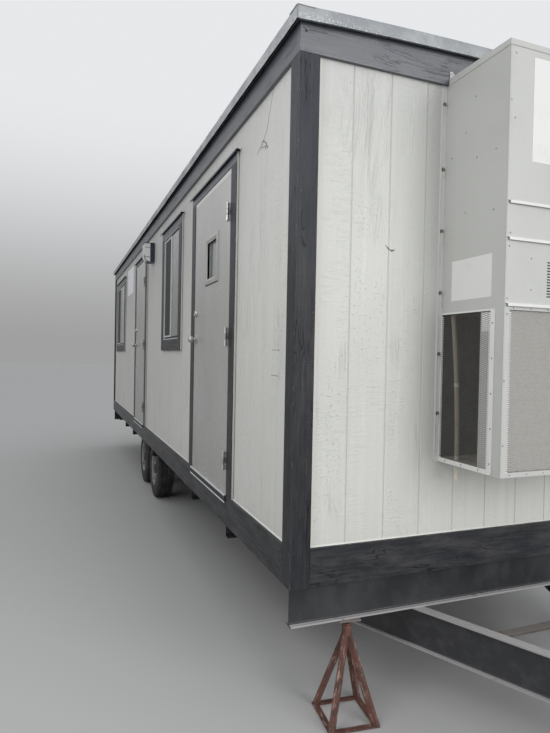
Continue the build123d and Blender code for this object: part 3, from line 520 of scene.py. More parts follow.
def flashing_look():
    """Weathered galvanised sheet with flecks, stains and small dents."""
    look = Look("weathered_sheet", (0.33, 0.345, 0.355), 0.42, 0.1)
    look.layer((5,), (0.4, 0.6, 0.6, (0.22, 0.24, 0.26)), None, (0.34, 0.55))
    foot = look.step(look.height(), edge_low.z + 0.045, edge_low.z + 0.008)
    flecks = look.noise((95, 95, 120), 4, 0.7)
    look.cover(look.math("ADD", flecks, look.times(foot, 0.10)), 0.60, 0.66, 0.7, (0.56, 0.58, 0.58))
    pits = look.noise((85, 85, 120), 4, 0.7)
    look.cover(look.math("ADD", pits, look.times(foot, 0.11)), 0.63, 0.70, 0.6, (0.09, 0.09, 0.095))
    look.layer((14, 3), None, (0.006, 0.6))
    look.bump(flecks, 0.0015, 0.6)
    return look.done()


def chassis_look(name, color, dusty, waves):
    """Blue-black beam paint, worn to pale grey on marked faces, with rust specks."""
    look = Look(name, color, 0.42)
    look.layer((waves, 5, 0.65), (0.40, 0.74, dusty, (0.062, 0.062, 0.063)), None, (0.36, 0.62))
    rubbed = look.step(look.noise(11, 5, 0.7), 0.27, 0.40, (0.3, 1))
    look.stain(look.times(look.mark(), rubbed), (0.345, 0.335, 0.335))
    look.layer((33, 4, 0.7), (0.70, 0.75, 0.6, (0.13, 0.055, 0.025)))
    return look.layer((40,), None, (0.0012, 0.5)).done()


def door_look():
    """Warm grey door paint with soft smears and thin vertical scratches, and painted light that is paler
    towards the top.
    """
    look = Look("door_paint", (0.35, 0.35, 0.333), 0.28, Specular_IOR_Level=1.0)
    smears = (1.4, 3.0), 4
    look.layer(smears, (0.4, 0.75, 0.4, (0.28, 0.28, 0.265)), None, (0.24, 0.36))
    look.layer(((1.2, 160), 2), (0.66, 0.72, 0.15, (0.23, 0.23, 0.22)))
    # Painted light: paler towards the top of the door.
    look.cover(look.height(), wall_top - 1.1, wall_top - 0.2, 0.7, (0.47, 0.47, 0.45))
    low = look.step(look.height(), floor_level + 0.5, floor_level, (0, 0.5))
    look.stain(look.times(low, look.noise((6, 12))), (0.26, 0.235, 0.20))
    look.layer(((240, 240), 2), None, (0.00025, 0.5))
    return look.layer(smears, None, (0.0015, 0.4)).done()


def steel_look(name, color, roughness):
    """Satin hardware steel."""
    dull = (0.5, 0.75, 0.6, tuple(c * 0.45 for c in color))
    return Look(name, color, roughness, 1.0).layer((60,), dull, None, (roughness, roughness + 0.2)).done()


def glass_look(name, color, clear):
    """Window glass with a little dust, hazed where it isn't clear."""
    look = Look(name, color, 0.02, Transmission_Weight=clear, IOR=1.7)
    look.gloss = look.step(look.noise((3, 5), 3), 0.5, 0.8, (0.012, 0.08))
    return look.done()


def screen_look():
    """Dark insect screen with a fine square weave."""
    look = Look("insect_screen", (0.018, 0.019, 0.019), 0.55, Specular_IOR_Level=0.2)
    sockets = {"Vector": look.place("grain"), "Scale": 300.0, "Mortar Size": 0.2}
    weave = look.node("TexBrick", sockets, offset=0.0).outputs["Fac"]
    look.stain(look.times(weave, 0.4), (0.05, 0.052, 0.053))
    look.layer(((1.5, 4), 3), (0.4, 0.7, 0.4, (0.05, 0.051, 0.05)))
    look.bump(weave, 0.0004, 0.5)
    return look.done()


def fins_look():
    """Fine level fins of a coil, warm grey with dust."""
    look = Look("coil_fins", (0.48, 0.465, 0.44), 0.5, 0.1)
    level = look.node("Mapping", {"Vector": look.place("object"), "Scale": (0.2, 0.2, 1)}).outputs["Vector"]
    sockets = {"Vector": level, "Scale": 55.0, "Distortion": 0.6}
    waves = look.node("TexWave", sockets, wave_type="BANDS", bands_direction="Z").outputs["Fac"]
    look.stain(look.times(waves, 0.45), (0.26, 0.25, 0.235))
    look.layer(((2, 2, 40),), (0.45, 0.75, 0.6, (0.42, 0.39, 0.35)))
    look.bump(waves, 0.002, 0.6)
    return look.done()


def cabinet_look(name, color):
    """Powder-coated sheet steel with faint orange peel, dust and drip stains."""
    look = Look(name, color, 0.38)
    cloud = ((2.5, 4, 2.5),)
    look.layer(cloud, (0.4, 0.75, 0.45, tuple(c * 0.86 for c in color)), None, (0.32, 0.48))
    look.layer(((2, 45),), (0.62, 0.8, 0.3, tuple(c * 0.66 for c in color)))
    look.layer((120, 2), (0.74, 0.79, 0.5, (0.2, 0.19, 0.17)))
    look.layer((260, 2), None, (0.0002, 0.4))
    return look.layer(cloud, None, (0.003, 0.3)).done()


def rim_look():
    """Grey enamel under raised dirt."""
    look = Look("rim_enamel", (0.42, 0.42, 0.41), 0.4, 0.2)
    dirt = look.noise(10, 5)
    look.stain(look.step(dirt, 0.4, 0.7, (0.1, 0.8)), (0.11, 0.095, 0.08))
    look.bump(dirt, 0.001, 0.4)
    return look.done()


def plastic(name, color, roughness, dirt=(0.3, 0.28, 0.25), waves=30):
    """Moulded plastic, foam or sealant with a trace of dirt."""
    return Look(name, color, roughness).layer((waves,), (0.5, 0.8, 0.4, dirt), (0.0006, 0.5)).done()


def plain(name, color, dark, waves, roughness):
    """A cloudy finish for sheets, boards and floors."""
    return Look(name, color, roughness).layer((waves, 5), (0.4, 0.7, 0.7, dark), (0.0012, 0.5)).done()


SIDING = siding_look("siding_paint", (0.60, 0.605, 0.57))
EDGE_PAINT = siding_look("paint_on_edges", (0.56, 0.565, 0.535))
TRIM = trim_look("trim_paint")
BAND_TRIM = trim_look("dusty_trim_paint", dusty=0.65)
# A paler, bluer copy of the trim paint for the fascia and the head boards: painted sky sheen.
SHEEN_PAINTED_TRIM = trim_look("trim_paint_painted_sheen", (0.044, 0.049, 0.062), (0.090, 0.097, 0.112), 1.0)
FLASHING = flashing_look()
CHASSIS = chassis_look("beam_paint", (0.013, 0.0142, 0.0175), 0.45, (2.5, 5, 2.5))
# A lighter, dustier copy of the beam paint for the tongue: real dust and painted light.
TONGUE_DUST_AND_PAINTED_LIGHT = chassis_look("beam_paint_dust_and_painted_light", (0.026, 0.027, 0.030), 0.6, 16)
DOOR = door_look()
STEEL = steel_look("satin_steel", (0.52, 0.515, 0.50), 0.28)
HINGE_STEEL = steel_look("hinge_steel", (0.68, 0.675, 0.66), 0.40)
DARK_STEEL = steel_look("dull_bolt_steel", (0.30, 0.29, 0.27), 0.4)
GLASS = glass_look("window_glass", (0.80, 0.83, 0.83), 1.0)
HAZED_GLASS = glass_look("hazed_door_glass", (0.36, 0.38, 0.375), 0.35)
SCREEN = screen_look()
FINS = fins_look()
CABINET = cabinet_look("cabinet_paint", (0.50, 0.505, 0.485))
# A paler copy of the cabinet paint for the wall flanges, the drip lips and the guard frames: painted light.
CABINET_PAINTED_LIGHT = cabinet_look("cabinet_paint_painted_light", (0.72, 0.72, 0.70))
GEAR = (
    Look("gear_paint", (0.022, 0.021, 0.021), 0.6)
    .layer((7, 5), (0.45, 0.7, 0.6, (0.085, 0.075, 0.065)))
    .layer((26, 4, 0.7), (0.6, 0.7, 0.6, (0.15, 0.065, 0.03)))
    .layer((60, 3), None, (0.001, 0.6)).done()
)
RUBBER = (
    Look("tyre_rubber", (0.018, 0.018, 0.019), 0.75)
    .layer((9, 5), (0.42, 0.75, 0.7, (0.085, 0.08, 0.072)))
    .layer((220, 2), None, (0.0005, 0.5)).done()
)
RIM = rim_look()
RUST = (
    Look("rusty_primer", (0.130, 0.054, 0.040), 0.66)
    .layer((18, 5, 0.7), (0.42, 0.62, 0.85, (0.060, 0.034, 0.027)))
    .layer(((16, 75), 4, 0.7), (0.55, 0.64, 0.75, (0.40, 0.29, 0.25)), (0.0022, 0.8)).done()
)
ALUMINIUM = (
    Look("mill_aluminium", (0.66, 0.67, 0.68), 0.36, 0.3)
    .layer(((3, 700), 3), (0.3, 0.7, 0.5, (0.56, 0.57, 0.58)), (0.0002, 0.4))
    .layer(((9, 25),), (0.5, 0.75, 0.5, (0.34, 0.33, 0.31)), None, (0.28, 0.5)).done()
)
LENS = (
    Look("milky_lens", (0.90, 0.91, 0.90), 0.28, Transmission_Weight=0.15, IOR=1.45)
    .layer((25, 3), (0.5, 0.8, 0.3, (0.62, 0.60, 0.55)))
    .layer((160, 2), None, (0.0006, 0.5)).done()
)
DOOR_STRIP = plastic("pale_door_strip", (0.62, 0.62, 0.59), 0.3, (0.45, 0.44, 0.41))
SEALANT = plastic("pale_sealant", (0.66, 0.66, 0.63), 0.4)
WEATHERSTRIP = plastic("black_weatherstrip", (0.02, 0.02, 0.02), 0.6, (0.06, 0.06, 0.055))
HOUSING = plastic("navy_housing", (0.018, 0.022, 0.042), 0.38, (0.09, 0.09, 0.10))
FOAM = plastic("tan_pipe_foam", (0.36, 0.31, 0.255), 0.8, (0.25, 0.21, 0.17))
DRAIN = plastic("cream_drain_plastic", (0.60, 0.575, 0.50), 0.45)
PLATE = plastic("blank_plate_white", (0.72, 0.72, 0.70), 0.45, (0.55, 0.54, 0.5), 9)
SIGN_FACE = plastic("sign_panel_white", (0.90, 0.90, 0.93), 0.30, (0.78, 0.78, 0.80), 9)
INTERIOR = plain("interior_panel", (0.62, 0.60, 0.55), (0.57, 0.55, 0.50), 1.5, 0.5)
CEILING = plain("ceiling_board", (0.62, 0.62, 0.60), (0.57, 0.57, 0.55), 12, 0.5)
FLOORING = plain("floor_covering", (0.20, 0.185, 0.165), (0.14, 0.125, 0.11), 8, 0.35)
BELLY = plain("belly_sheet", (0.018, 0.018, 0.019), (0.05, 0.045, 0.04), 3, 0.55)
BAY_SHEET = plain("shaded_bay_sheet", (0.125, 0.119, 0.109), (0.085, 0.080, 0.073), 9, 0.6)
STRAND = plain("mesh_strands", (0.52, 0.505, 0.475), (0.39, 0.375, 0.35), 40, 0.5)
SHADED_STRAND = plain("shaded_mesh_strands", (0.15, 0.146, 0.135), (0.10, 0.097, 0.088), 40, 0.5)
DUSTY_ANGLE = plain("dusty_angle_paint", (0.15, 0.137, 0.125), (0.085, 0.072, 0.062), 14, 0.6)
SCRAPE = plain("scraped_paint", (0.15, 0.135, 0.115), (0.08, 0.07, 0.06), 60, 0.7)
FLOOR = plain("studio_floor", (0.42, 0.42, 0.415), (0.41, 0.41, 0.405), 0.3, 0.95)
TRAY = plain("dusty_tray", (0.40, 0.38, 0.34), (0.20, 0.15, 0.10), 16, 0.7)
MEMBRANE = plain("roof_coating", (0.60, 0.60, 0.58), (0.47, 0.46, 0.43), 2.5, 0.45)


# Siding: grooved sheets on all four walls

DOOR_SIDE_GROOVE, HITCH_END_GROOVE = hitch_trim - 0.240, door_trim + 0.282

WINDOW_LIP = 0.015
WINDOW_Z = (wall_top - 1.201, wall_top - 0.208)
WINDOW_PLACES = ((hitch_face - 2.970, 0.3625), (far_face + 1.035, 0.545))
WINDOWS = [inset((place, place), -half) for place, half in WINDOW_PLACES]


def grooves_in(low, high, first):
    """Groove lines of the pitch that falls on first, between two places."""
    number = int((low - first) // GROOVE_PITCH)
    lines = [first + i * GROOVE_PITCH for i in range(number, number + int((high - low) / GROOVE_PITCH) + 3)]
    return [line for line in lines if line - low > GROOVE_WIDTH and high - line > GROOVE_WIDTH]


def siding_wall(node, across, out, first):
    """One stretch of wall: grooved siding outside, a plain board inside."""
    low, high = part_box(node)
    axis = 0 if across == EAST else 1
    wide, tall = (low[axis], high[axis]), (low.z, high.z)
    level = max(low.dot(out), high.dot(out))
    holes = [(inset(x, -WINDOW_LIP), inset(WINDOW_Z, -WINDOW_LIP)) for x in WINDOWS]
    holes = [h for h in holes if axis == 0 and wide[0] < h[0][0] and h[0][1] < wide[1]]
    shape = Shape(len(node))
    shape.panel(across, out, level, wide, tall, wall_thick, holes, grooves_in(*wide, first), back=1)
    shape.build(f"{node}_siding", [SIDING, INTERIOR], node)


# Trim boards, each a separate board with worn edges and nail heads

BOARD, BOARD_BEVEL, BOARD_GAP = 0.100, 0.002, 0.0006


def corner_boards():
    """Two boards at each corner, the end one lapping the edge of the side one."""
    shape = Shape(11)
    z = (band_bottom, wall_top)
    for x, inward_x in ((far_trim, 1), (hitch_trim, -1)):
        for y, inward_y in ((door_trim, 1), (back_trim, -1)):
            lap_x, lap_y = x + inward_x * trim_thick, y + inward_y * trim_thick
            shape.block((x, lap_x), (y, y + inward_y * BOARD), z, BOARD_BEVEL)
            shape.block((lap_x, x + inward_x * BOARD), (y, lap_y), z, BOARD_BEVEL)
            end_y, side_x = y + inward_y * BOARD / 2, x + inward_x * BOARD / 2
            shape.nails((x, end_y, z[0]), (x, end_y, z[1]), NORTH, EAST * -inward_x, 0.022)
            shape.nails((side_x, y, z[0]), (side_x, y, z[1]), EAST, NORTH * -inward_y, 0.022)
    shape.build("corner_board_timber", [TRIM], "corner_boards")


def board_run(shape, run, level, z, shares=()):
    """Boards end to end along a side of the cabin, with joints at shares of the run."""
    places = [run[0], *(run[0] + (run[1] - run[0]) * share for share in shares), run[1]]
    for span in zip(places, places[1:]):
        shape.block(inset(span, BOARD_GAP), level, z, BOARD_BEVEL)


def base_band():
    """The band round the foot of the walls, with a bead of sealant along its top."""
    shape = Shape(12)
    z = (band_bottom, floor_level)
    nail_z, spread = sum(z) / 2, 0.055
    x_run, y_run = inset((far_trim, hitch_trim), BOARD), inset((door_trim, back_trim), BOARD)
    for side, face, trim, out in SIDES:
        board_run(shape, x_run, (trim, face), z, (0.27, 0.62))
        shape.nails((x_run[0], trim, nail_z), (x_run[1], trim, nail_z), UP, NORTH * out, spread)
    for face, trim, out in ENDS:
        shape.block((trim, face), inset(y_run, BOARD_GAP), z, BOARD_BEVEL)
        shape.nails((trim, y_run[0], nail_z), (trim, y_run[1], nail_z), UP, EAST * out, spread)
    shape.finish = 1
    bead = [(0, 0), (0.007, 0), (0.0055, 0.0035), (0, 0.006)]
    stops = [x_run[0]]
    for place in ("far", "near"):
        low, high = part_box(f"door_frame_{place}")
        stops += inset((low.x, high.x), 0.03)
    stops.append(x_run[1])
    ends = [((start, door_face), (end, door_face)) for start, end in zip(stops[::2], stops[1::2])]
    ends.append(((x_run[1], back_face), (x_run[0], back_face)))
    ends.append(((hitch_face, y_run[0]), (hitch_face, y_run[1])))
    ends.append(((far_face, y_run[1]), (far_face, y_run[0])))
    for start, end in ends:
        shape.prism(bead, (*start, floor_level), (*end, floor_level))
    shape.build("base_band_timber", [BAND_TRIM, SEALANT], "base_band")


# Roof: the bow of its top, the fascia, the sheets and the edge flashing

HALF_TRIM = (back_trim - door_trim) / 2
CROWN = 0.030
ROOF_EDGE = wall_top + 0.173
BOW_RADIUS = (HALF_TRIM ** 2 + CROWN ** 2) / (2 * CROWN)


def bow(y):
    """Rise of the roof at a place across the cabin, from nothing at the trim face."""
    return sqrt(BOW_RADIUS ** 2 - (y - middle_y) ** 2) - sqrt(BOW_RADIUS ** 2 - HALF_TRIM ** 2)


def fascia():
    """Boards under the roof edge, level along the sides and bowed on top at the ends."""
    shape = Shape(13)
    nail_z, spread, steps = wall_top + 0.06, 0.035, 16
    for side, face, trim, out in SIDES:
        joins = [far_trim + (hitch_trim - far_trim) * share for share in (0.3, 0.64)]
        places = [far_face, *joins, hitch_face]
        for span in zip(places, places[1:]):
            shape.block(inset(span, BOARD_GAP), (trim, face), (wall_top, ROOF_EDGE), BOARD_BEVEL)
        shape.nails((far_trim, trim, nail_z), (hitch_trim, trim, nail_z), UP, NORTH * out, spread)
    joint = middle_y + 0.31
    for face, trim, out in ENDS:
        for low, high in (inset((door_trim, joint), BOARD_GAP), inset((joint, back_trim), BOARD_GAP)):
            places = [low + (high - low) * i / steps for i in range(steps + 1)]
            top = [(face, y, ROOF_EDGE + bow(y)) for y in places]
            outline = [(face, low, wall_top), *top, (face, high, wall_top)]
            shape.plate(outline, EAST * (out * trim_thick), NORTH)
        shape.nails((trim, door_face, nail_z), (trim, back_face, nail_z), UP, EAST * out, spread)
    shape.lag_bolt((hitch_trim, door_trim + 0.032, wall_top + 0.094), EAST, 0.006)
    # The fascia wears the paler trim paint: painted sky sheen.
    shape.build("fascia_timber", [SHEEN_PAINTED_TRIM], "fascia")


def roof():
    """Roof sheets lapped across the cabin, bowed, with a low seam at each lap."""
    shape = Shape(14)
    low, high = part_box("roof_sheet")
    sheet, seam, seam_top, pitch, steps, screws = 0.0024, 0.045, 0.0048, 1.19, 18, 15
    ys = [door_trim + (back_trim - door_trim) * i / steps for i in range(steps + 1)]

    def strip(start, end, bottom, top):
        section = [(y, ROOF_EDGE + bow(y) + top) for y in ys]
        section += [(y, ROOF_EDGE + bow(y) + bottom) for y in reversed(ys)]
        shape.plate([(start, *pair) for pair in section], EAST * (end - start), NORTH)

    strip(low.x, high.x, 0, sheet)
    count = int((high.x - low.x) / pitch)
    for i in range(1, count + 1):
        x = low.x + (high.x - low.x) * i / (count + 1)
        strip(x - seam / 2, x + seam / 2, sheet, seam_top)
        for j in range(screws):
            y = door_trim + (back_trim - door_trim) * (j + 1) / (screws + 1)
            shape.screw((x, y, ROOF_EDGE + bow(y) + seam_top), UP, 0.006)
    shape.build("roof_covering", [MEMBRANE], "roof_sheet")


def flashing():
    """Bent edge metal in lapped lengths, dented along its face and nailed on top."""
    shape = Shape(15)
    leg, face, lip, gauge, lap = 0.090, 0.060, 0.012, 0.0012, 0.02
    nail_pitch, nail_back = 0.2, 0.06
    top = edge_low.z + face
    section = [(-leg, 0), (-0.004, 0), (0, -0.004), (0, -face / 2), (0, -face)]
    section += [(-lip, -face), (-lip, 0.0025 - face)]
    count = len(section)

    def dent(point, out):
        push = noise.noise(Vector((point.x * 2.3, point.y * 2.3, point.z * 9))) * 0.0045
        push += noise.noise(Vector((point.x * 11, point.y * 11, point.z * 25))) * 0.0022
        return point - out * (abs(push) + 0.0006)

    def run(start, end, out, rise):
        start, end = Vector(start), Vector(end)
        steps = max(2, int((end - start).length / 0.035))
        points = []
        for i in range(steps + 1):
            for a, b in section:
                point = start.lerp(end, i / steps) + out * a + UP * b
                point.z += rise(point)
                points.append(dent(point, out) if a > -0.003 else point)
        faces = skin(steps + 1, count, closed=False)
        line = (end - start).normalized()
        if line.cross(out).z < 0:
            faces = [face[::-1] for face in faces]
        inner = [p - UP * gauge if k % count < 2 else p - out * gauge for k, p in enumerate(points)]
        behind = [[len(points) + v for v in face[::-1]] for face in faces]
        shape.add(points + inner, faces + behind, line)
        for i in range(int((end - start).length / nail_pitch)):
            place = start + line * (nail_pitch * (i + 0.5)) - out * nail_back
            shape.screw(place + UP * (rise(place) - 0.001), UP, 0.006, 0.001)

    lengths = 3
    third = (edge_high.x - edge_low.x) / lengths
    for y, out in ((edge_low.y, -NORTH), (edge_high.y, NORTH)):
        for i in range(lengths):
            end = edge_low.x + third * (i + 1) + (lap if i < lengths - 1 else 0)
            run((edge_low.x + third * i, y, top), (end, y, top), out, lambda p: 0)
    side_rise = bow(door_trim - (edge_high.x - hitch_trim))
    for x, out in ((edge_low.x, -EAST), (edge_high.x, EAST)):
        run((x, edge_low.y, top), (x, edge_high.y, top), out, lambda p: bow(p.y) - side_rise)
    shape.build("roof_edge_metal", [FLASHING], "roof_edge_flashing")


# Windows: casing boards with a drip cap, aluminium sliders with a screen over one half

CASING, CASING_HEAD, APRON = 0.114, 0.077, 0.105
CAP_PROUD, CAP_LAP, CAP_STEP = 0.015, 0.030, 0.05
FRAME_BAR, FRAME_LIP, FRAME_DEEP, FRAME_SETBACK = 0.025, 0.008, 0.040, 0.003
MEETING = 0.035


def drip_cap(shape, x, face, out, z):
    """A bent sheet cap that stands out over its head board, with a dented lip and caulked ends."""
    x = inset(x, -CAP_LAP)
    proud = trim_thick + CAP_PROUD
    steps = max(6, int((x[1] - x[0]) / CAP_STEP))
    section = [(0.0, 0.012), (0.004, 0.009), (proud - 0.003, 0.0045), (proud, 0.002), (proud, -0.010)]
    section += [(proud - 0.002, -0.010), (proud - 0.002, 0.0005), (0.004, 0.0045), (0.0, 0.0065)]
    points = []
    for i in range(steps + 1):
        place = x[0] + (x[1] - x[0]) * i / steps
        sway = noise.noise(Vector((place * 5, z, out))) * 0.0018
        points += [(place, face + out * a, z + b + (sway if a > proud - 0.01 else 0)) for a, b in section]
    count = len(section)
    faces = turned(skin(steps + 1, count)) + caps(count, steps * count)
    shape.add(points, [f[::-1] for f in faces] if out > 0 else faces, EAST)
    board, shape.finish = shape.finish, 1
    for end in x:
        shape.bar(end, 0.006, (face, face + out * 0.012), (z + 0.002, z + 0.016), 0.003)
    shape.finish = board


def painted_edges(shape, outer, face, out, z):
    """Pale strips of a siding-coloured finish over the outer edges of casing boards."""
    shape.finish = 2
    for x, away in zip(outer, (-0.0006, 0.0006)):
        shape.block((x, x + away), (face + out * 0.003, face + out * (trim_thick - 0.0045)), z, 0.0002, UP)
    shape.finish = 0


def window_casings():
    """Head over side boards over a deep apron, round each of the four windows."""
    shape = Shape(21)
    low, high = WINDOW_Z
    for side, face, trim, out in SIDES:
        level = (face, face + out * trim_thick)
        for x in WINDOWS:
            outer = inset(x, -CASING)
            # The head board wears the paler trim paint: painted sky sheen.
            shape.finish = 3
            shape.block(outer, level, (high, high + CASING_HEAD), BOARD_BEVEL)
            shape.finish = 0
            shape.block(outer, level, (low - APRON, low), BOARD_BEVEL)
            painted_edges(shape, outer, face, out, (low - APRON, high + CASING_HEAD))
            for span in ((outer[0], x[0]), (x[1], outer[1])):
                shape.block(span, level, WINDOW_Z, BOARD_BEVEL)
                middle = sum(span) / 2
                shape.nails((middle, level[1], low), (middle, level[1], high), EAST, NORTH * out, 0.03)
            drip_cap(shape, outer, face, out, high + CASING_HEAD)
    looks = [TRIM, SEALANT, EDGE_PAINT, SHEEN_PAINTED_TRIM]
    shape.build("window_casing_timber", looks, "window_casings")


def ring(shape, x, y, z, stile, rail, bevel=0.0012):
    """A rectangular frame of four bars, stiles running through."""
    shape.block((x[0], x[0] + stile), y, z, bevel)
    shape.block((x[1] - stile, x[1]), y, z, bevel)
    shape.block(inset(x, stile), y, (z[0], z[0] + rail), bevel)
    shape.block(inset(x, stile), y, (z[1] - rail, z[1]), bevel)


def window_halves(x):
    """The clear widths either side of a slider's meeting stile: sliding sash, then fixed light."""
    middle = sum(x) / 2
    return (x[0] + FRAME_BAR, middle - MEETING / 2), (middle + MEETING / 2, x[1] - FRAME_BAR)


def window_frames():
    """Aluminium sliders: a lipped frame, a fixed light, and a sash behind its insect screen."""
    shape = Shape(22)
    inner_z = inset(WINDOW_Z, FRAME_BAR)
    for side, face, trim, out in SIDES:
        front = face + out * (trim_thick - FRAME_SETBACK)
        back = face - out * FRAME_DEEP

        def level(start, end):
            return (front - out * start, front - out * end)

        for x in WINDOWS:
            ring(shape, x, (front, back), WINDOW_Z, FRAME_LIP, FRAME_LIP)
            lip, width = 0.001 - WINDOW_LIP, WINDOW_LIP + 0.004
            ring(shape, inset(x, lip), (face - out * 0.001, back), inset(WINDOW_Z, lip), width, width)
            # A black ring in the channel round the screen: painted shade.
            shape.finish = 2
            channel, width = (inset(x, FRAME_LIP), inset(WINDOW_Z, FRAME_LIP)), FRAME_BAR - FRAME_LIP
            ring(shape, channel[0], (front - out * 0.013, back), channel[1], width, width)
            shape.finish = 0
            left, right = window_halves(x)
            stile = right[0] - 0.006
            shape.block((left[1] - 0.004, stile), level(0.001, 0.034), inner_z, 0.0012)
            shape.block((stile, right[0]), level(0.012, 0.034), inner_z, 0.0008)
            ring(shape, left, level(0.016, 0.032), inner_z, 0.024, 0.026)
            ring(shape, left, level(0.003, 0.013), inner_z, 0.014, 0.014)
            shape.finish = 2
            ring(shape, right, level(0.014, 0.022), inner_z, 0.008, 0.008)
            shape.finish = 1
            shape.block(inset(left, 0.012), level(0.008, 0.0092), inset(inner_z, 0.012), 0.0003, UP)
            shape.finish = 0
            for share, z in product((0.12, 0.5, 0.88), inset(WINDOW_Z, FRAME_LIP / 2)):
                shape.screw((x[0] + (x[1] - x[0]) * share, front, z), NORTH * out, 0.003, 0.001)
    shape.build("window_sliders", [ALUMINIUM, SCREEN, WEATHERSTRIP], "window_frames")


def window_glass():
    """Four panes a side, the sliding one a step behind the fixed one."""
    for side, face, trim, out in SIDES:
        shape = Shape(23)
        front = face + out * (trim_thick - FRAME_SETBACK)
        for x in WINDOWS:
            for span, back in zip(reversed(window_halves(x)), (0.008, 0.024)):
                level = (front - out * back, front - out * (back + 0.005))
                shape.block(inset(span, 0.002), level, inset(WINDOW_Z, FRAME_BAR + 0.002), 0.0004, UP)
        node = f"window_glass_{side}"
        shape.build(f"{node}_panes", [GLASS], node)


# Doors: casings, jambs, thresholds, slabs, the small light, hinges, knobs and bolts

DOOR_GAP, JAMB, STOP, DOOR_CASING, DOOR_HEAD = 0.005, 0.030, 0.014, 0.108, 0.062
HINGE_LENGTH, KNUCKLE, KNUCKLE_GAP, PIN_BACK, LEAF, LEAF_THICK = 0.114, 0.008, 0.001, 0.022, 0.045, 0.002
LATCH_BACKSET, KNOB_UP, BOLT_UP, KNOB_REACH = 0.070, 0.970, 1.164, 0.062
DOORS = (("near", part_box("door_near"), "near_door"), ("far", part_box("door_far"), "far_door"))
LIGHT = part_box("door_near_glass")
slab_face, slab_back = DOORS[0][1][0].y, DOORS[0][1][1].y
door_foot, door_head = DOORS[0][1][0].z, DOORS[0][1][1].z
stop_face = slab_back + DOOR_GAP
jamb_back = door_face + wall_thick
HINGE_Z = [door_foot + 0.204 + 0.763 * i for i in range(3)]
HINGE_THIRD, HINGE_PIN = HINGE_LENGTH / 3, slab_face - PIN_BACK


def door_frame(place, clear):
    """Jambs with stops and a weatherstrip, casing boards and a drip cap."""
    shape = Shape(31)
    top = door_head + DOOR_GAP
    casing_y = (door_trim, door_face)
    outer = inset(clear, -DOOR_CASING)
    for span in ((outer[0], clear[0]), (clear[1], outer[1])):
        shape.block(span, casing_y, (floor_level, top), 0.0025)
        middle = sum(span) / 2
        shape.nails((middle, door_trim, floor_level), (middle, door_trim, top), EAST, -NORTH, 0.028)
    # The head board wears the paler trim paint: painted sky sheen.
    shape.finish = 4
    shape.block(outer, casing_y, (top, top + DOOR_HEAD), BOARD_BEVEL)
    painted_edges(shape, outer, door_face, -1, (floor_level, top + DOOR_HEAD))
    drip_cap(shape, outer, door_face, -1, top + DOOR_HEAD)
    for edge, side in zip(clear, (-1, 1)):
        shape.block((edge + side * JAMB, edge), (door_face, jamb_back), (floor_level, top + JAMB), 0.001)
        shape.block((edge, edge - side * STOP), (stop_face, jamb_back), (floor_level, top - STOP), 0.001)
    shape.block(clear, (door_face, jamb_back), (top, top + JAMB), 0.001)
    shape.block(clear, (stop_face, jamb_back), (top - STOP, top), 0.001)
    shape.finish = 3
    strip, strip_width = (stop_face - 0.0035, stop_face), 0.008
    for edge, side in zip(clear, (-1, 1)):
        shape.block((edge, edge - side * strip_width), strip, (floor_level, top), 0.001)
    shape.block(clear, strip, (top - strip_width, top), 0.001)
    looks = [TRIM, SEALANT, EDGE_PAINT, WEATHERSTRIP, SHEEN_PAINTED_TRIM]
    shape.build(f"door_frame_{place}_timber", looks, f"door_frame_{place}")


def thresholds():
    """Ribbed sills with a double nose over the base band."""
    shape = Shape(32)
    top = door_foot - 0.005
    nose = (door_trim - 0.012, door_trim - 0.0005)
    for place, slab, body in DOORS:
        x = inset((slab[0].x, slab[1].x), -DOOR_GAP)
        shape.block(x, (door_trim - 0.004, stop_face), (floor_level, top - 0.002), 0.001)
        shape.block(inset(x, STOP), (stop_face, jamb_back), (floor_level, top), 0.001)
        for i in range(5):
            y = door_trim + 0.006 + i * 0.008
            shape.block(x, (y, y + 0.003), (top - 0.0025, top), 0.0008)
        shape.block(x, nose, (top - 0.012, top - 0.001), 0.002)
        shape.block(x, nose, (floor_level - 0.044, floor_level - 0.035), 0.0015)
        # A black strip between the two noses: painted shade.
        shape.finish = 1
        shape.block(x, (nose[0] + 0.004, nose[1]), (floor_level - 0.040, top - 0.006), 0.0005)
        shape.finish = 0
    shape.build("door_thresholds", [ALUMINIUM, WEATHERSTRIP], "thresholds")


def door_slab(place, wide, body):
    """A flush steel door with folded edges and a paler strip along its head."""
    shape = Shape(33)
    tall = (door_foot, door_head)
    holes = [((LIGHT[0].x, LIGHT[1].x), (LIGHT[0].z, LIGHT[1].z))] if place == "near" else []
    edge = 0.0015
    shape.panel(EAST, -NORTH, -slab_face, inset(wide, edge), tall, slab_back - slab_face, holes)
    for x, inward in zip(wide, (edge, -edge)):
        shape.block((x, x + inward), inset((slab_face, slab_back), 0.0008), tall, 0.0006)
    shape.finish = 1
    shape.block(inset(wide, edge), (slab_face - 0.0007, slab_face), (door_head - 0.028, door_head), 0.0003)
    shape.finish = 2
    strip_z = (door_foot - 0.004, door_foot)
    shape.block(inset(wide, 0.01), inset((slab_face, slab_back), 0.012), strip_z, 0.001)
    shape.build(f"door_{place}_slab", [DOOR, DOOR_STRIP, WEATHERSTRIP], f"door_{place}", body)


def moulding(shape, x, z, level, out, profile):
    """A mitred frame; the profile gives how far in from its edge and how proud it stands."""
    points = []
    for inward, proud in profile:
        (left, right), (low, high) = inset(x, inward), inset(z, inward)
        corners = ((left, low), (right, low), (right, high), (left, high))
        points += [(a, level + out * proud, b) for a, b in corners]
    faces = skin(len(profile), 4, loop=True)
    shape.add(points, faces if out < 0 else [face[::-1] for face in faces], UP)


